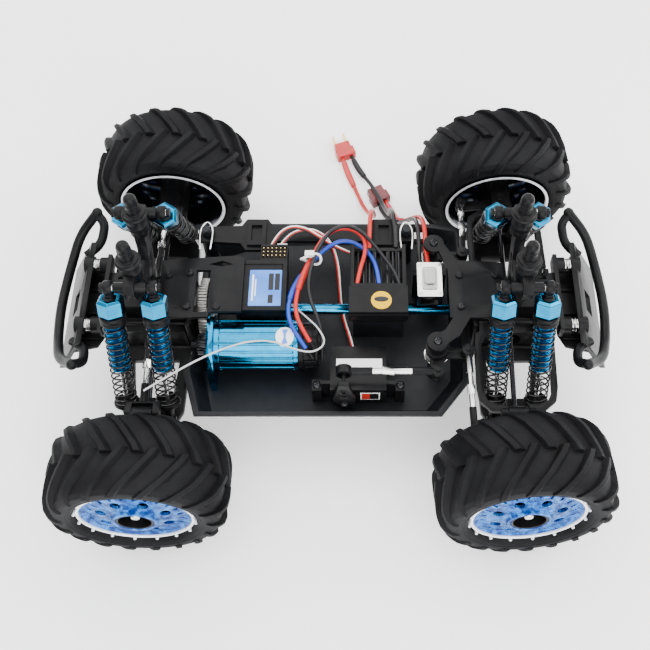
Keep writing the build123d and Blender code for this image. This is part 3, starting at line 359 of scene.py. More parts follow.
def mesh_object(name, shape, scale=1.0):
    """Object in the scene of a shape, with its faces turned outwards."""
    mesh = bpy.data.meshes.new(name)
    mesh.from_pydata([tuple(point * scale) for point in shape.points], [], shape.faces)
    work = bmesh.new()
    work.from_mesh(mesh)
    bmesh.ops.recalc_face_normals(work, faces=work.faces)
    work.to_mesh(mesh)
    work.free()
    made = bpy.data.objects.new(name, mesh)
    bpy.context.scene.collection.objects.link(made)
    return made


def make(
    name, shape, material, body, bevel=0.0, segments=2, angle=32, replaces=(), matrix=None
):
    """Make a piece of a shape in millimetres, bevelled and smooth, riding on a body."""
    piece = mesh_object(name, shape, MM)
    if matrix is not None:
        piece.data.transform(matrix)
    piece.data.materials.append(MATERIALS[material])
    round_edges(piece, bevel, segments, angle)
    if body:
        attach(piece, body)
    if replaces:
        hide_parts(*replaces)
    return piece


def round_edges(piece, width, segments=2, angle=32):
    """Bevel the sharp edges and smooth the rest."""
    for polygon in piece.data.polygons:
        polygon.use_smooth = True
    if width:
        bevel = piece.modifiers.new("edges", "BEVEL")
        bevel.width = width * MM
        bevel.segments = segments
        bevel.limit_method = "ANGLE"
        bevel.angle_limit = math.radians(angle)
        bevel.harden_normals = True
    else:
        piece.data.set_sharp_from_angle(angle=math.radians(angle))


def cut(shape, tools):
    """Shape with the tool shapes cut out of it."""
    stock = mesh_object("stock", shape)
    cutters = []
    for tool in tools:
        cutter = mesh_object("cutter", tool)
        step = stock.modifiers.new("cut", "BOOLEAN")
        step.operation = "DIFFERENCE"
        step.solver = "EXACT"
        step.object = cutter
        cutters.append(cutter)
    bpy.context.view_layer.update()
    solved = stock.evaluated_get(bpy.context.evaluated_depsgraph_get())
    result = bpy.data.meshes.new_from_object(solved)
    points = [vertex.co for vertex in result.vertices]
    left = Shape().add(points, [tuple(polygon.vertices) for polygon in result.polygons])
    for used in (stock, *cutters):
        bpy.data.objects.remove(used)
    return left


def polar(radius, angle):
    """Point at a radius and an angle in degrees."""
    return radius * math.cos(math.radians(angle)), radius * math.sin(math.radians(angle))


def shift(x, y, z):
    """Matrix that moves by millimetres."""
    return Matrix.Translation((x, y, z))


# ------------------------------------------------------------------ carried-over CAD parts
def dress(node, material, bevel=0.35, areas=()):
    """Give a CAD node its finish, areas of other finishes by place in millimetres, and soft edges."""
    piece = frame["nodes"][node]
    piece.data.materials.clear()
    piece.data.materials.append(MATERIALS[material])
    for name, _ in areas:
        piece.data.materials.append(MATERIALS[name])
    for polygon in piece.data.polygons:
        polygon.use_smooth = True
        polygon.material_index = 0
        x, y, z = polygon.center / MM
        for index, (_, inside) in enumerate(areas):
            if inside(x, y, z):
                polygon.material_index = index + 1
    weld = piece.modifiers.new("weld", "WELD")
    weld.merge_threshold = 0.00001
    if bevel:
        edges = piece.modifiers.new("edges", "BEVEL")
        edges.width = bevel * MM
        edges.segments = 2
        edges.limit_method = "ANGLE"
        edges.angle_limit = math.radians(35)
        edges.harden_normals = True


# ------------------------------------------------------------------ cords
BATTERY_RED = [
    (27, 42.4, 92.5), (27, 50, 95), (27.5, 60, 97), (28, 72, 95), (29, 84, 84), (31, 96, 62), (32, 110, 38),
    (29, 126, 17), (23, 142, 6), (18, 158, 2.4), (12, 174, 2.2), (7, 187, 2.8), (4, 198, 4.2),
]
BATTERY_BLACK = [
    (46.5, 42.4, 93.5), (46.5, 50, 96), (46, 60, 98), (45, 72, 96), (43.5, 84, 85), (43, 98, 61),
    (44, 114, 35), (41, 132, 19), (36, 148, 13.6), (30, 163, 10.5), (23, 178, 4.6), (16.5, 190, 3.2),
    (12, 201, 4.2),
]
SPARE_RED = [
    (70.5, 28.8, 90), (69.2, 40, 92), (69, 54, 92), (68.6, 68, 89), (66.5, 82, 78), (62, 96, 56),
    (57, 110, 32), (52, 124, 12), (47, 138, 4.6), (42, 151, 4.2),
]
SPARE_BLACK = [
    (65, 28.8, 88), (64.2, 40, 90), (64.2, 54, 90.5), (64, 68, 88), (62, 82, 76), (58, 96, 52),
    (53, 110, 29), (47, 124, 11), (41, 137, 4.6), (36, 148, 4.2),
]
MOTOR_RED = [
    (18, 8.6, 96.3), (20, 20, 98), (24, 32, 101), (24, 44, 103), (15, 53, 103), (2, 54, 102), (-8, 45, 101),
    (-15, 30, 100), (-21, 14, 99.5), (-25, -1, 100), (-26, -15, 100), (-22, -27, 97.5), (-15, -36.5, 92),
]
MOTOR_BLUE = [
    (34, 8.6, 96.3), (33, 20, 97), (29, 32, 97.5), (20, 42, 97.5), (8, 47, 97), (-3, 42, 96.5),
    (-13, 31, 96.5), (-22, 17, 96.5), (-28.5, 3, 97), (-31, -10, 98), (-30.5, -21, 98), (-25.5, -31.5, 95.5),
    (-18, -40, 89),
]
MOTOR_BLACK = [
    (48.8, 8.6, 96.3), (45.5, 18, 98.5), (38, 28, 101.5), (30, 38, 105), (21, 48, 107), (10, 54, 106.5),
    (-1, 50, 105.5), (-9, 38, 105), (-14, 24, 104.5), (-17, 9, 104), (-16, -6, 103.5), (-11, -19, 101.5),
    (-6.5, -30, 96), (-6.5, -39, 88),
]
SERVO_LEAD = [
    (-40, 43.9, 90), (-36, 50, 93), (-28, 56, 94.5), (-17, 58, 94.5), (-8, 54, 93), (-1, 46, 90.5),
    (3, 34, 83), (4, 23, 72), (5, 11, 63), (8, -3, 60.5), (12, -16, 61.5), (15, -29.8, 64),
]
ESC_LEAD = [
    (-46, 43.9, 91), (-42, 51, 95.5), (-33, 57, 99.5), (-21, 55, 100.5), (-10, 48, 98.5), (1, 42.5, 94),
    (12.2, 39, 91),
]
ANTENNA = [
    (-32, -4, 91), (-26, -9, 92), (-17, -19, 95), (-9, -29, 99), (-3, -41, 98.5), (-12, -49, 99),
    (-26, -47, 101), (-40, -41, 102), (-56, -42, 104), (-72, -49, 107), (-88, -60, 112),
    (-104, -74, 118), (-120, -90, 125),
]


def route_curve(name, route, radius):
    """Smooth curve whose control points are a cord's route."""
    data = bpy.data.curves.new(name, "CURVE")
    data.dimensions = "3D"
    data.resolution_u = 10
    data.bevel_depth = radius * MM
    data.bevel_resolution = 4
    data.use_fill_caps = True
    spline = data.splines.new("NURBS")
    spline.points.add(len(route) - 1)
    for point, place in zip(spline.points, route):
        point.co = (*(Vector(place) * MM), 1)
    spline.order_u = 3
    spline.use_endpoint_u = True
    curve = bpy.data.objects.new(name, data)
    bpy.context.scene.collection.objects.link(curve)
    return curve


def centreline(route):
    """Points along a cord's smooth line, in millimetres."""
    curve = route_curve("line", route, 0)
    mesh = bpy.data.meshes.new_from_object(curve)
    points = [vertex.co / MM for vertex in mesh.vertices]
    bpy.data.objects.remove(curve)
    return points


def length_of(points):
    """Length along a row of points."""
    return sum((after - before).length for before, after in zip(points, points[1:]))


def lead(name, route, radius, material):
    """Round cord on the chassis."""
    cord = route_curve(name, route, radius)
    cord.data.materials.append(MATERIALS[material])
    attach(cord, "chassis")
    length = length_of(centreline(route)) * MM


def ribbon(name, route, strand_r, colours):
    """Flat lead of three strands side by side on the chassis."""
    line = centreline(route)
    shape = Shape()
    spans = []
    for index in range(len(colours)):
        offset = (index - (len(colours) - 1) / 2) * 1.85 * strand_r
        strand = []
        for place, point in enumerate(line):
            before = line[max(place - 1, 0)]
            after = line[min(place + 1, len(line) - 1)]
            along = (after - before).normalized()
            across = along.cross(Vector((0, 0, 1))).normalized()
            strand.append(point + across * offset)
        start = len(shape.faces)
        shape.merge(sweep(strand, strand_r, 10))
        spans.append((start, len(shape.faces)))
    piece = make(name, shape, colours[0], "chassis")
    for colour in colours[1:]:
        piece.data.materials.append(MATERIALS[colour])
    for index, (start, end) in enumerate(spans):
        for face in range(start, end):
            piece.data.polygons[face].material_index = index


def sleeve(name, route, start, end, radius, material, bulge=0.12):
    """Heat-shrink sleeve over a stretch of a cord, from one share of its way to another."""
    line = centreline(route)
    low = int(start * (len(line) - 1))
    high = int(end * (len(line) - 1))
    stretch = line[low:high + 1]

    def fullness(share):
        pinch = 0.10 if share in (0.0, 1.0) else 0
        return 1.0 + bulge * math.sin(math.pi * min(1.0, max(0.0, share))) - pinch

    return make(name, sweep(stretch, radius, 16, fullness), material, "chassis")


def make_cords():
    """Leads, ribbons and the aerial, with the sleeves on them."""
    sleeves = [
        sleeve("red_plug_sleeve", BATTERY_RED, 0.84, 0.985, 2.5, "plug_red"),
        sleeve("black_plug_sleeve", BATTERY_BLACK, 0.86, 0.985, 2.4, "black_wire"),
    ]
    lead("battery_red_lead", BATTERY_RED, 1.7, "red_wire")
    lead("battery_black_lead", BATTERY_BLACK, 1.7, "black_wire")
    spare = [
        sleeve("spare_red_sleeve", SPARE_RED, 0.72, 0.98, 2.7, "sleeve_red"),
        sleeve("spare_black_sleeve", SPARE_BLACK, 0.72, 0.98, 2.6, "black_wire"),
    ]
    lead("spare_red_lead", SPARE_RED, 1.8, "red_wire")
    lead("spare_black_lead", SPARE_BLACK, 1.7, "black_wire")
    lead("motor_red_lead", MOTOR_RED, 1.6, "red_wire")
    lead("motor_blue_lead", MOTOR_BLUE, 1.6, "blue_wire")
    lead("motor_black_lead", MOTOR_BLACK, 1.4, "black_wire")
    sleeve("motor_red_sleeve", MOTOR_RED, 0.62, 0.76, 2.2, "red_wire")
    sleeve("motor_blue_sleeve", MOTOR_BLUE, 0.60, 0.74, 2.15, "blue_wire")
    ribbon("servo_ribbon", SERVO_LEAD, 0.62, ("white_wire", "red_wire", "black_wire"))
    ribbon("controller_ribbon", ESC_LEAD, 0.62, ("white_wire", "red_wire", "black_wire"))
    lead("aerial_wire", ANTENNA, 0.65, "grey_wire")


# ------------------------------------------------------------------ wheels
def hub_matrix(corner):
    """Matrix of a wheel in its leaning and steered hub: Y along its axle to the left side, Z up."""
    joint = joints[f"{corner}_wheel_spin"]
    y_axis = Vector(joint["axis"]).normalized()
    x_axis = y_axis.cross(Vector((0, 0, 1))).normalized()
    z_axis = x_axis.cross(y_axis)
    matrix = Matrix((x_axis, y_axis, z_axis)).transposed().to_4x4()
    matrix.translation = Vector(joint["pos_m"])
    return matrix


CARCASS = [
    (24.0, 40.6), (26.4, 42.2), (27.9, 45.2), (28.3, 48.4), (27.6, 52.2), (25.2, 55.2), (21.0, 56.8),
    (14.0, 57.7), (7.0, 58.1),
]
LUG_TOP = [(0.0, 62.2), (9.0, 62.1), (17.5, 61.7), (23.0, 60.0), (27.2, 56.6), (29.4, 52.0), (30.0, 48.6)]
LUG_FOOT = [(0.0, 57.4), (9.0, 57.2), (17.5, 56.4), (22.0, 55.0), (25.4, 52.6), (26.8, 50.0), (27.2, 47.6)]
LUGS = 18
LUG_SWEEP = 27.0
LUG_STEPS = 16
LUG_LEAN = -0.9


def along_row(row, share):
    """Point at a share of the way along a row of points in two dimensions."""
    spot = share * (len(row) - 1)
    index = min(int(spot), len(row) - 2)
    part = spot - index
    return tuple(a + (b - a) * part for a, b in zip(row[index], row[index + 1]))


def tyre_shape():
    """Tyre with two rows of curved paddle lugs that meet in a chevron."""
    inside = [(22.0, 40.6), (24.6, 45.5), (24.2, 50.0), (20.0, 53.6), (10.0, 54.8)]
    profile = CARCASS + [(-along, radius) for along, radius in reversed(CARCASS)]
    profile += [(-along, radius) for along, radius in inside] + list(reversed(inside))
    shape = lathe(profile, 120)
    for ring_r, ring_y in ((43.2, 27.0), (45.2, 28.0)):
        for side in (1, -1):
            inner, outer = side * (ring_y - 0.5), side * (ring_y + 0.35)
            bead = [(inner, ring_r - 0.45), (outer, ring_r), (inner, ring_r + 0.45)]
            shape.merge(lathe(bead, 96))
    for side in (1, -1):
        for index in range(LUGS):
            base = 360 / LUGS * (index + (0.5 if side > 0 else 0.0))
            points = []
            for step in range(LUG_STEPS + 1):
                share = step / LUG_STEPS
                turn = base - LUG_SWEEP * (1 - (1 - share) ** 1.5)
                top = along_row(LUG_TOP, share)
                foot = along_row(LUG_FOOT, share)
                ahead = 4.6 - 1.2 * share
                wide = 2.0 + 0.5 * share
                end = 1.0 - 0.35 * max(0.0, share - 0.86) / 0.14
                top_r = foot[1] + (top[1] - foot[1]) * end
                top_y = foot[0] + (top[0] - foot[0]) * end
                overlap = -1.6 if step == 0 else 0.0
                section = (
                    (foot[1], foot[0], -ahead), (top_r, top_y, -wide + LUG_LEAN),
                    (top_r, top_y, wide + LUG_LEAN), (foot[1], foot[0], ahead),
                )
                for radius, along, width in section:
                    z, x = polar(radius, turn + math.degrees(width / radius))
                    points.append((x, side * (along + overlap), z))
            faces = ring_faces(LUG_STEPS + 1, 4)
            faces.append((0, 1, 2, 3))
            last = LUG_STEPS * 4
            faces.append((last + 3, last + 2, last + 1, last))
            shape.add(points, faces)
    return shape


def dish_shape(side):
    """Wheel's dish with its windows, slots and hub bore, facing out on the given side."""
    profile = [
        (22.6, 37.9), (22.9, 36.8), (22.2, 35.4), (21.6, 33.4), (22.4, 30.0), (23.6, 24.0), (24.6, 18.0),
        (25.4, 16.0), (27.2, 15.2), (27.8, 14.0), (27.4, 12.9), (26.2, 12.4), (16.0, 12.2), (15.8, 0.01),
        (13.8, 0.01), (13.8, 14.2), (22.6, 17.0), (21.4, 24.0), (20.2, 30.0), (19.6, 36.6), (20.6, 37.6),
    ]
    dish = lathe([(side * along, radius) for along, radius in profile], 96)
    tools = []
    window = prism([polar(3.7, 20 * k) for k in range(18)], -40, 40, "Y")
    slot = prism(rounded(1.9, 1.0, 0.99, 4), -40, 40, "Y")
    for index in range(8):
        turn = Matrix.Rotation(math.tau * (index + 0.5) / 8, 4, "Y")
        tools.append(Shape().merge(window, turn @ shift(0, 0, 23.2)))
    for index in range(24):
        turn = Matrix.Rotation(math.tau * (index + 0.5) / 24, 4, "Y")
        tools.append(Shape().merge(slot, turn @ shift(0, 0, 30.6)))
    return cut(dish, tools)


def bead_ring(side):
    """Bead-lock ring, set into the tyre, with small bolt nubs round its edge."""
    profile = [
        (20.0, 38.2), (21.6, 37.5), (23.0, 37.1), (24.0, 37.5), (24.4, 38.3), (24.2, 39.2), (23.2, 39.9),
        (20.6, 39.9),
    ]
    ring = lathe([(side * along, radius) for along, radius in profile], 96)
    for index in range(16):
        nub = lathe([(21.4, 0.01), (21.4, 1.15), (25.0, 1.15), (25.5, 0.8), (25.5, 0.01)], 12)
        turn = Matrix.Rotation(math.tau * (index + 0.5) / 16, 4, "Y") @ shift(0, 0, 40.2)
        if side < 0:
            turn = turn @ Matrix.Scale(-1, 4, (0, 1, 0))
        ring.merge(nub, turn)
    return ring


def darken_back(piece, outward):
    """Give the faces of a wheel that look towards the truck a darker plating, as painted shade inside the
    hollow wheel.
    """
    piece.data.materials.append(MATERIALS["shaded_plating"])
    for polygon in piece.data.polygons:
        if polygon.normal.dot(outward) < -0.1:
            polygon.material_index = 1


def make_wheels():
    """Tyres, rims, rings, nuts and axles of all four wheels."""
    tyre = tyre_shape()
    inner = [
        (-27.9, 39.6), (-27.6, 40.8), (-24.4, 41.0), (-22.0, 37.4), (21.4, 37.9), (20.6, 37.0), (14.0, 36.2),
        (-20.5, 35.4), (-27.2, 39.0),
    ]
    lip = [
        (-28.9, 39.9), (-28.4, 39.2), (-27.2, 38.8), (-26.4, 39.0), (-27.4, 39.8), (-28.2, 41.4),
        (-28.9, 41.2),
    ]
    axle = [
        (14.4, 0.01), (14.4, 6.0), (-19.0, 6.0), (-21.0, 6.6), (-22.0, 8.1), (-35.4, 8.3), (-36.0, 7.9),
        (-36.0, 6.4), (-35.4, 6.2), (-24.0, 6.2), (-24.0, 0.01),
    ]
    # Black cup in the hub bore: painted shade of the dark hollow round the lock nut.
    recess = lathe([
        (26.9, 11.2), (27.3, 12.2), (26.4, 12.9), (16.1, 12.6), (16.1, 0.01), (17.0, 0.01), (17.0, 11.2),
    ], 48)
    nut = prism([polar(5.6, 60 * k + 30) for k in range(6)], 17.4, 22.0, "Y")
    nut.merge(lathe([(16.9, 6.6), (17.7, 6.9), (18.0, 6.2), (18.0, 3.4), (16.9, 3.4)], 32))
    nut.merge(lathe([(17.1, 3.3), (24.0, 3.3), (24.6, 2.7), (24.6, 0.01), (17.1, 0.01)], 24))
    for corner in CORNERS:
        side = 1 if corner.endswith("left") else -1
        matrix = hub_matrix(corner)
        body = f"{corner}_wheel"
        flip = Matrix.Scale(side, 4, (0, 1, 0))
        outward = matrix.to_3x3() @ Vector((0, side, 0))
        make(
            f"{corner}_tyre_tread", tyre, "rubber", body, 0.55, 2, 28, [f"{corner}_tyre"], matrix,
        )
        dish = make(
            f"{corner}_rim_dish", DISHES[side], "dish_blue", body, 0.25, 2, 35, [f"{corner}_wheel"], matrix,
        )
        darken_back(dish, outward)
        make(
            f"{corner}_bead_ring", bead_ring(side), "plating", body, 0.2, 2, 40, matrix=matrix,
        )
        # Barrel in the darker plating: painted shade inside the hollow wheel.
        barrel = lathe([(side * along, radius) for along, radius in inner], 96)
        make(
            f"{corner}_barrel", barrel, "shaded_plating", body, 0.2, 2, 35, matrix=matrix,
        )
        ring = lathe([(side * along, radius) for along, radius in lip], 96)
        make(f"{corner}_inner_lip", ring, "plating", body, matrix=matrix)
        # The hub cup's black is painted shade of the bore.
        make(
            f"{corner}_hub_recess", Shape().merge(recess, flip), "satin", body, 0.2, 2, 35, matrix=matrix,
        )
        make(
            f"{corner}_lock_nut", Shape().merge(nut, flip), "steel", body, 0.3, 2, 35, matrix=matrix,
        )
        cup = Shape().merge(lathe(axle, 40), flip)
        make(f"{corner}_axle_cup", cup, "screw", body, 0.2, matrix=matrix)


# ------------------------------------------------------------------ shocks
def shock_matrix(corner, side_x):
    """Matrix of one shock: Z down its axis from the upper eye, X along the truck."""
    swing = Vector(joints[f"{corner}_shock_swing"]["pos_m"])
    down = Vector(joints[f"{corner}_shock_stroke"]["axis"]).normalized()
    x_axis = Vector((1, 0, 0))
    y_axis = down.cross(x_axis)
    matrix = Matrix((x_axis, y_axis, down)).transposed().to_4x4()
    matrix.translation = swing + Vector((side_x * SHOCK_HALF_X, 0, 0))
    return matrix


def cap_shape():
    """Hexagonal shock cap with chamfered ends."""
    points = []
    for along, radius in ((7.6, 5.2), (7.8, 7.6), (9.6, 9.3), (19.6, 9.3), (21.0, 8.3), (21.0, 5.0)):
        points += [(*polar(radius, 60 * k + 30), along) for k in range(6)]
    shape = Shape()
    shape.add(points, ring_faces(6, 6, True))
    return shape


def spring_shape(turns=14.5, radius=7.35, wire=0.62, start=27.4, end=93.4):
    """Coil spring along Z with closed end turns."""
    path = []
    steps = int(turns * 20)
    for step in range(steps + 1):
        share = step / steps
        turn = math.tau * turns * share
        edge = 0.045
        if share < edge:
            height = share * 0.25
        elif share > 1 - edge:
            height = 1 - (1 - share) * 0.25
        else:
            height = edge * 0.25 + (share - edge) * (1 - 0.5 * edge) / (1 - 2 * edge)
        path.append((radius * math.cos(turn), radius * math.sin(turn), start + (end - start) * height))
    return sweep(path, wire, 8)


def make_shocks():
    """Caps, eyes, cylinders, springs, rods and perches of all eight shocks."""
    spring = spring_shape()
    threads = [(24.0, 4.9), (24.0, 6.2)]
    for index in range(24):
        along = 25.0 + 1.65 * index
        threads += [(along, 6.05), (along + 0.35, 6.6), (along + 0.95, 6.6), (along + 1.3, 6.05)]
    threads += [(65.0, 6.3), (65.4, 5.6), (65.4, 1.9), (63.0, 1.9), (63.0, 4.9)]
    cylinder = lathe(threads, 40, axis="Z")
    collar = lathe([
        (21.1, 5.2), (21.1, 8.5), (21.7, 8.9), (24.4, 8.9), (24.9, 8.6), (25.2, 8.9), (27.0, 8.9),
        (27.2, 8.4), (27.2, 6.7), (21.4, 5.2),
    ], 48, axis="Z")
    eye = lathe([(-3.1, 3.2), (-3.1, 4.2), (-2.2, 4.9), (2.2, 4.9), (3.1, 4.2), (3.1, 3.2)], 32, axis="X")
    neck = [(4.2, 0.01), (4.2, 3.4), (7.0, 3.2), (8.4, 5.0), (10.0, 5.2), (10.0, 0.01)]
    eye.merge(lathe(neck, 32, axis="Z"))
    ball = lathe([
        (-3.6, 2.05), (-3.6, 2.5), (-2.4, 3.1), (0.0, 3.15), (2.4, 3.1), (3.6, 2.5), (3.6, 2.05),
    ], 32, axis="X")
    rod = lathe([(60.0, 0.01), (60.0, 1.75), (104.0, 1.75), (104.0, 0.01)], 24, axis="Z")
    perch = lathe([
        (92.6, 1.9), (92.6, 6.2), (93.7, 6.7), (93.7, 8.4), (94.6, 8.9), (96.2, 8.9), (97.6, 7.2),
        (99.4, 4.2), (105.6, 3.4), (106.2, 2.0),
    ], 40, axis="Z")
    low_eye = lathe([
        (-3.0, 2.45), (-3.0, 3.8), (-2.2, 4.4), (2.2, 4.4), (3.0, 3.8), (3.0, 2.45),
    ], 32, axis="X")
    for corner in CORNERS:
        caps, black, cylinders, balls, springs, rods, feet = (Shape() for _ in range(7))
        for side_x in (1, -1):
            matrix = shock_matrix(corner, side_x)
            matrix.translation = matrix.translation / MM
            caps.merge(cap_shape(), matrix)
            black.merge(collar, matrix).merge(eye, matrix)
            cylinders.merge(cylinder, matrix)
            balls.merge(ball, matrix)
            springs.merge(spring, matrix)
            rods.merge(rod, matrix)
            feet.merge(perch, matrix).merge(low_eye, matrix @ shift(0, 0, EYE_TO_EYE))
        up, down = f"{corner}_shock_bodies", f"{corner}_shock_shafts"
        make(f"{corner}_shock_caps", caps, "cyan", up, 0.35, 2, 25, [up])
        make(f"{corner}_shock_cylinders", cylinders, "body_blue", up)
        make(f"{corner}_shock_collars", black, "plastic", up, 0.25, 2, 40)
        make(f"{corner}_shock_balls", balls, "steel", up)
        coil = make(f"{corner}_coil_springs", springs, "spring", None)
        matrix = shock_matrix(corner, 0)
        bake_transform(coil)
        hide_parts(f"{corner}_springs")
        make(f"{corner}_shock_rods", rods, "steel", down, replaces=[down])
        make(f"{corner}_shock_feet", feet, "plastic", down, 0.2, 2, 40)


# ------------------------------------------------------------------ screws, posts and bumper springs
def screw_shape(radius=3.0, height=1.9):
    """Domed cross-head screw on the XY plane, pointing up Z."""
    head = lathe([
        (-0.6, 0.01), (-0.6, radius), (height * 0.45, radius), (height * 0.8, radius * 0.82),
        (height, radius * 0.45), (height, 0.01),
    ], 32, axis="Z")
    arm = radius * 0.62
    slot = radius * 0.13
    tools = [brick((-arm, arm), (-slot, slot), (height * 0.35, height * 2))]
    tools.append(brick((-slot, slot), (-arm, arm), (height * 0.36, height * 2.1)))
    return cut(head, tools)


def make_screws():
    """Cross-head screws of the decks, steering posts, servo and switch, and the posts' washers."""
    level = [(x, y) for x in (92, 118) for y in (-13, 13)]
    level += [(-103, -13), (-103, 15), (-118, -13), (-118, 13), (-82, -13), (74.5, -41), (74.5, 41)]
    places = [(x, y, DECK_Z) for x, y in level] + [(49, -60.5, 72), (-10.5, -60.5, 72)]
    screws = Shape()
    for place in places:
        screws.merge(SCREW, shift(*place) @ Matrix.Rotation(0.7 * place[0], 4, "Z"))
    make("deck_screws", screws, "screw", "chassis", 0.12, 1, 40)
    plate = Shape()
    for x in (64.2, 77.8):
        for y in (1.4, 25.6):
            turn = Matrix.Rotation(x, 4, "Z")
            plate.merge(SCREW, shift(x, y, 95.3) @ turn @ Matrix.Scale(0.42, 4))
    make("switch_screws", plate, "steel", "chassis")
    horn = Shape().merge(SCREW, shift(9, -73.2, 65) @ Matrix.Rotation(math.pi / 2, 4, "X"))
    make("horn_screw", horn, "screw", "servo_horn", 0.1, 1, 40)
    washer = lathe([(81.4, 3.0), (81.4, 8.6), (81.9, 8.9), (82.4, 8.6), (82.4, 3.0)], 40, axis="Z")
    washers = Shape()
    for y in (-41, 41):
        washers.merge(washer, shift(74.5, y, 0))
    make("crank_washers", washers, "steel", "chassis")


def make_bumper_springs():
    """Small bright coils on the bumper posts of both ends, and the web below the posts."""
    webs = Shape()
    for end in (1, -1):
        half = [(162, 26), (167, 36), (184, 40)]
        outline = [(end * x, -y) for x, y in half] + [(end * x, y) for x, y in reversed(half)]
        webs.merge(prism(outline, 81.5, 84.5))
        for y in (-30, -10, 10, 30):
            webs.merge(brick(sorted((end * 165, end * 183)), (y - 1, y + 1), (84, 86.5)))
    make("bumper_webs", webs, "plastic", "chassis", 0.5, 2, 40)
    coils = Shape()
    steps = 72
    for end in (1, -1):
        for y in (25, -25):
            path = []
            for step in range(steps + 1):
                turn = math.tau * 3.4 * step / steps
                x = end * (169.9 + 3.9 * step / steps)
                path.append((x, y + 4.6 * math.cos(turn), 96 + 4.6 * math.sin(turn)))
            coils.merge(sweep(path, 0.5, 8))
    make("bumper_springs", coils, "steel", "chassis")


def make_post_details():
    """Ring grooves and pinned collars on the four body posts."""
    post = lathe([
        (156.0, 3.7), (156.0, 6.6), (157.2, 7.4), (160.5, 7.4), (161.6, 6.4), (164.0, 5.2), (168.5, 4.6),
        (168.5, 3.7),
    ], 40, axis="Z")
    post.merge(lathe([
        (167.6, 4.4), (168.4, 7.8), (169.3, 8.6), (170.2, 8.6), (172.6, 5.4), (173.6, 4.62), (173.0, 4.4),
    ], 40, axis="Z"))
    for low in (177.0, 181.5):
        band = [(low, 4.45), (low + 0.2, 4.85), (low + 1.0, 4.85), (low + 1.2, 4.45)]
        post.merge(lathe(band, 32, axis="Z"))
    posts = Shape()
    for x in (130, -130):
        for y in (18.4, -18.4):
            posts.merge(post, shift(x, y, 0))
    make("body_post_rings", posts, "plastic", "chassis", 0.15, 2, 35)


# ------------------------------------------------------------------ motor and electronics
def patch(outline, centre_x, radius, thickness):
    """Sticker bent round the motor can over an outline of places along and across it."""
    rows = 12
    lean = math.radians(98)
    points = []
    for reach in (radius, radius + thickness):
        for row in range(rows):
            share = 1 - row / rows
            for a, b in outline:
                turn = lean + b * share / radius
                y = MOTOR_Y + reach * math.cos(turn)
                points.append((centre_x + a * share, y, MOTOR_Z + reach * math.sin(turn)))
    count = len(outline)
    base = rows * count
    faces = ring_faces(rows, count)
    faces += [tuple(base + index for index in face) for face in ring_faces(rows, count)]
    faces.append(tuple(range(base - count, base)))
    faces.append(tuple(range(2 * base - count, 2 * base))[::-1])
    for index in range(count):
        nxt = (index + 1) % count
        faces.append((index, nxt, base + nxt, base + index))
    return Shape().add(points, faces)


def oval(half_x, half_y, x=0.0, y=0.0):
    """Outline of an oval about a place."""
    turns = [math.tau * k / 48 for k in range(48)]
    return [(x + half_x * math.cos(turn), y + half_y * math.sin(turn)) for turn in turns]


def make_motor():
    """Scalloped can over the plain one, end bell with its ribs, and the round label."""
    outline = []
    steps = 216
    for index in range(steps):
        angle = 360 * index / steps
        dip = max(0.0, math.cos(math.radians(angle * 16))) ** 2
        outline.append(polar(MOTOR_R + 0.12 - 0.85 * dip, angle))
    centre = shift(0, MOTOR_Y, MOTOR_Z)
    can = Shape().merge(prism(outline, -79.5, -27.5, "X"), centre)
    for low, high in ((-84.0, -79.5), (-27.5, -24.2)):
        end = [
            (low, 6.5), (low, 17.4), (low + 0.6, 18.1), (high - 0.6, 18.1), (high, 17.4), (high, 6.5),
        ]
        can.merge(lathe(end, 72, axis="X"), centre)
    bell = lathe([
        (-24.2, 6), (-24.2, 16.6), (-20.5, 16.9), (-20.0, 15.8), (-14.0, 15.8), (-13.0, 16.4),
        (-10.5, 15.0), (-10.0, 12.0), (-10.6, 10.5), (-10.6, 7.5), (-7.2, 7.0), (-6.6, 5.6), (-6.6, 2.5),
        (-8.5, 2.0), (-8.5, 0.01), (-12, 0.01),
    ], 48, axis="X")
    for index in range(6):
        rib = brick((-20.0, -10.8), (-1.6, 1.6), (14.6, 16.8))
        bell.merge(rib, Matrix.Rotation(math.tau * index / 6 + 0.3, 4, "X"))
    bell = Shape().merge(bell, centre)
    make("motor_can", can, "cyan", "chassis", 0.25, 2, 40)
    make("motor_end_bell", bell, "satin", "chassis", 0.3, 2, 35)
    label = patch(oval(6.5, 7.5), -33, 18.2, 0.12)
    make("motor_label", label, "label", "chassis")
    mark = patch(rounded(2, 5.5, 0.8, 6), -33, 18.34, 0.08)
    make("motor_label_mark", mark, "label_blue", "chassis")


def disc_label(name, x, y, z, rx, ry, material):
    """Thin oval sticker on a level face."""
    disc = prism(oval(rx, ry, x, y), z, z + 0.15)
    make(name, disc, material, "chassis", 0.05, 1, 40)


def bar_labels(name, bars, z, material):
    """Flat printed bars on a level face, each given by its limits in X and Y."""
    shape = Shape()
    for x, y in bars:
        shape.merge(brick(x, y, (z, z + 0.1)))
    make(name, shape, material, "chassis")


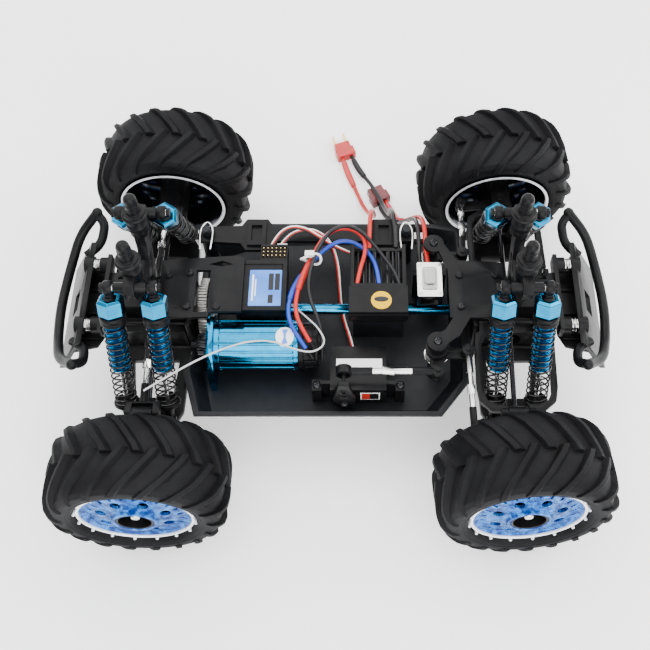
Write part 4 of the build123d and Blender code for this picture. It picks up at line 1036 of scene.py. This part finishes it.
def make_receiver():
    """Receiver's label, header block and pins."""
    label_z = RECEIVER_LABEL_Z
    sheet = prism(rounded(11.8, 15.4, 0.8), label_z - 0.15, label_z)
    label = Shape().merge(sheet, shift(-48.2, 4.6, 0))
    make("receiver_label", label, "label_blue", "chassis")
    bars = [((-46, -42.5), (3, 17)), ((-41.5, -38), (3, 17)), ((-46, -42.5), (-8, -1))]
    bar_labels("receiver_label_blocks", bars, label_z, "black_wire")
    bars = [((-58, -56.8), (-6, 16)), ((-55.8, -55.0), (-2, 12))]
    bar_labels("receiver_label_lines", bars, label_z, "label")
    rim = brick((-69.3, -32.7), (-14.3, 28.3), (92.6, 98.6))
    rim = cut(rim, [brick((-65.6, -36.4), (-10.6, 24.6), (97.35, 101))])
    make("receiver_lid", rim, "satin", "chassis", 0.7, 3, 40)
    header = brick((-53.2, -33.3), (28.6, 43.4), (84, 96.4))
    columns = [-51 + 3.1 * index for index in range(6)]
    pits = [brick((x - 1.1, x + 1.1), (31.2, 41.4), (94.4, 99)) for x in columns]
    header = cut(header, pits)
    make("receiver_header", header, "satin", "chassis", 0.35, 2, 40)
    pins = Shape()
    for x in columns:
        for row in range(3):
            y = 33.0 + 3.2 * row
            pins.merge(brick((x - 0.33, x + 0.33), (y - 0.33, y + 0.33), (94, 97.6)))
    make("receiver_pins", pins, "gold", "chassis")
    socket = brick((-41.8, -34.2), (40.6, 46.2), (87.4, 93.4))
    make("ribbon_socket", socket, "white_wire", "chassis", 0.5, 3, 40)


def make_controller():
    """Speed controller's lid, sticker and fins, and the switch's plate and boot."""
    lid = brick((12.2, 54.8), (-16.4, 5.6), (91.8, 99.4))
    seam = brick((8, 60), (-17.2, -15.9), (94.9, 95.5))
    notch = brick((19, 48), (4.4, 6.4), (96.4, 101))
    lid = cut(lid, [seam, notch])
    make("controller_lid", lid, "satin", "chassis", 0.9, 3, 40)
    disc_label("controller_sticker", 35.5, -6.6, 99.4, 7.4, 7.4, "label_yellow")
    disc_label("controller_sticker_mark", 35.5, -5.8, 99.55, 5.2, 2.2, "screw")
    fins = Shape()
    for index in range(8):
        x = 18.6 + 4.3 * index
        fins.merge(brick((x - 0.6, x + 0.6), (9.5, 38.5), (87, 93.8)))
    make("controller_fins", fins, "screw", "chassis", 0.2, 2, 40)
    window = prism(rounded(4.6, 8.2, 1.4), 90, 99)
    plate = cut(
        Shape().merge(prism(rounded(9.1, 14.6, 1.0), 94.0, 95.5), shift(71, 13.5, 0)),
        [Shape().merge(window, shift(71, 14.0, 0))],
    )
    make("switch_plate", plate, "steel", "chassis", 0.2, 2, 40)
    boot = Shape()
    boot.merge(prism(rounded(5.6, 9.4, 2.0), 95.4, 97.0), shift(71, 14.0, 0))
    boot.merge(prism(rounded(4.2, 6.6, 1.8), 97.0, 99.6), shift(71, 14.6, 0))
    make("switch_boot", boot, "boot", "chassis", 0.7, 3, 30)


def make_servo():
    """Servo's label and two-tone tag."""
    plate = brick((3.2, 36.0), (-50.5, -41.2), (75.0, 75.14))
    make("servo_label", plate, "label", "chassis")
    tag = brick((20.6, 34.4), (-66.14, -66.0), (59.6, 70.4))
    make("servo_tag", tag, "label", "chassis")
    halves = (("red", (21.4, 27.2), "label_red"), ("black", (27.2, 33.6), "black_wire"))
    for word, x, material in halves:
        half = brick(x, (-66.24, -66.12), (60.4, 69.6))
        make(f"servo_tag_{word}", half, material, "chassis")


def make_cable_tie():
    """Tie of white nylon round the motor leads."""
    path = []
    for step in range(41):
        turn = math.tau * step / 40
        y = 27.5 + 1.6 * math.sin(2 * turn)
        path.append((-15.6 + 7.2 * math.cos(turn), y, 100.6 + 5.6 * math.sin(turn)))
    band = sweep(path, 1.05, 8)
    band.merge(Shape().merge(brick((-3.4, 3.4), (-2.2, 2.2), (-1.8, 1.8)), shift(-16.5, 28.4, 106.0)))
    make("cable_tie", band, "white_wire", "chassis", 0.3, 2, 40)


# ------------------------------------------------------------------ finishes of the CAD parts
def dress_parts():
    """Finish and soften the CAD parts that stay in view."""
    plain = ["gearboxes", "shock_towers", "bumpers", "drag_link", "servo_horn"]
    for corner in CORNERS:
        plain += [f"{corner}_hub_carrier", f"{corner}_lower_arm"]
        dress(f"{corner}_drive_shaft", "screw", 0)
    for side in ("left", "right"):
        plain += [f"{side}_bellcrank", f"front_{side}_knuckle", f"front_{side}_upper_arm"]
    for node in plain:
        dress(node, "plastic", 0.4)
    for side in ("left", "right"):
        dress(f"rear_{side}_upper_link", "plastic", 0.3, [("steel", lambda x, y, z: 46 < abs(y) < 64)])
        dress(f"{side}_tie_rod", "plastic", 0.2, [("steel", lambda x, y, z: 55 < abs(y) < 84)])
    dress("chassis_tub", "tray", 0.5)
    clips = [("steel", lambda x, y, z: 88.6 < z < 91.4 and min(abs(x + 96), abs(x - 55)) < 8)]
    dress("battery_strap", "plastic", 0.25, clips)
    dress("motor", "cyan", 0.4, [("satin", lambda x, y, z: x > -24.05)])
    dress("pinion_gear", "screw", 0.1)
    dress("spur_gear_and_shaft", "gear", 0.1, [("cyan", lambda x, y, z: x > -85)])
    dress("speed_controller", "satin", 0.5)
    dress("switch_slider", "satin", 0.4)
    dress("receiver", "satin", 0.4)
    dress("servo", "satin", 0.6)
    dress("servo_link", "plastic", 0.3, [("steel", lambda x, y, z: 30 < x < 56)])
    # Plug faces below y 185 get the darker red: painted shade where that plug lies under the crossing lead.
    plug_areas = [("gold", lambda x, y, z: y > 215.6), ("plug_red_shaded", lambda x, y, z: y < 185)]
    dress("plugs", "plug_red", 0.5, plug_areas)


MATERIALS = make_materials()
SCREW = screw_shape()
make_camera()
make_studio()
make_cords()
DISHES = {side: dish_shape(side) for side in (1, -1)}
make_wheels()
make_shocks()
make_screws()
make_bumper_springs()
make_post_details()
make_motor()
make_receiver()
make_controller()
make_servo()
make_cable_tie()
dress_parts()
for node in ("power_leads", "wiring"):
    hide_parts(node)
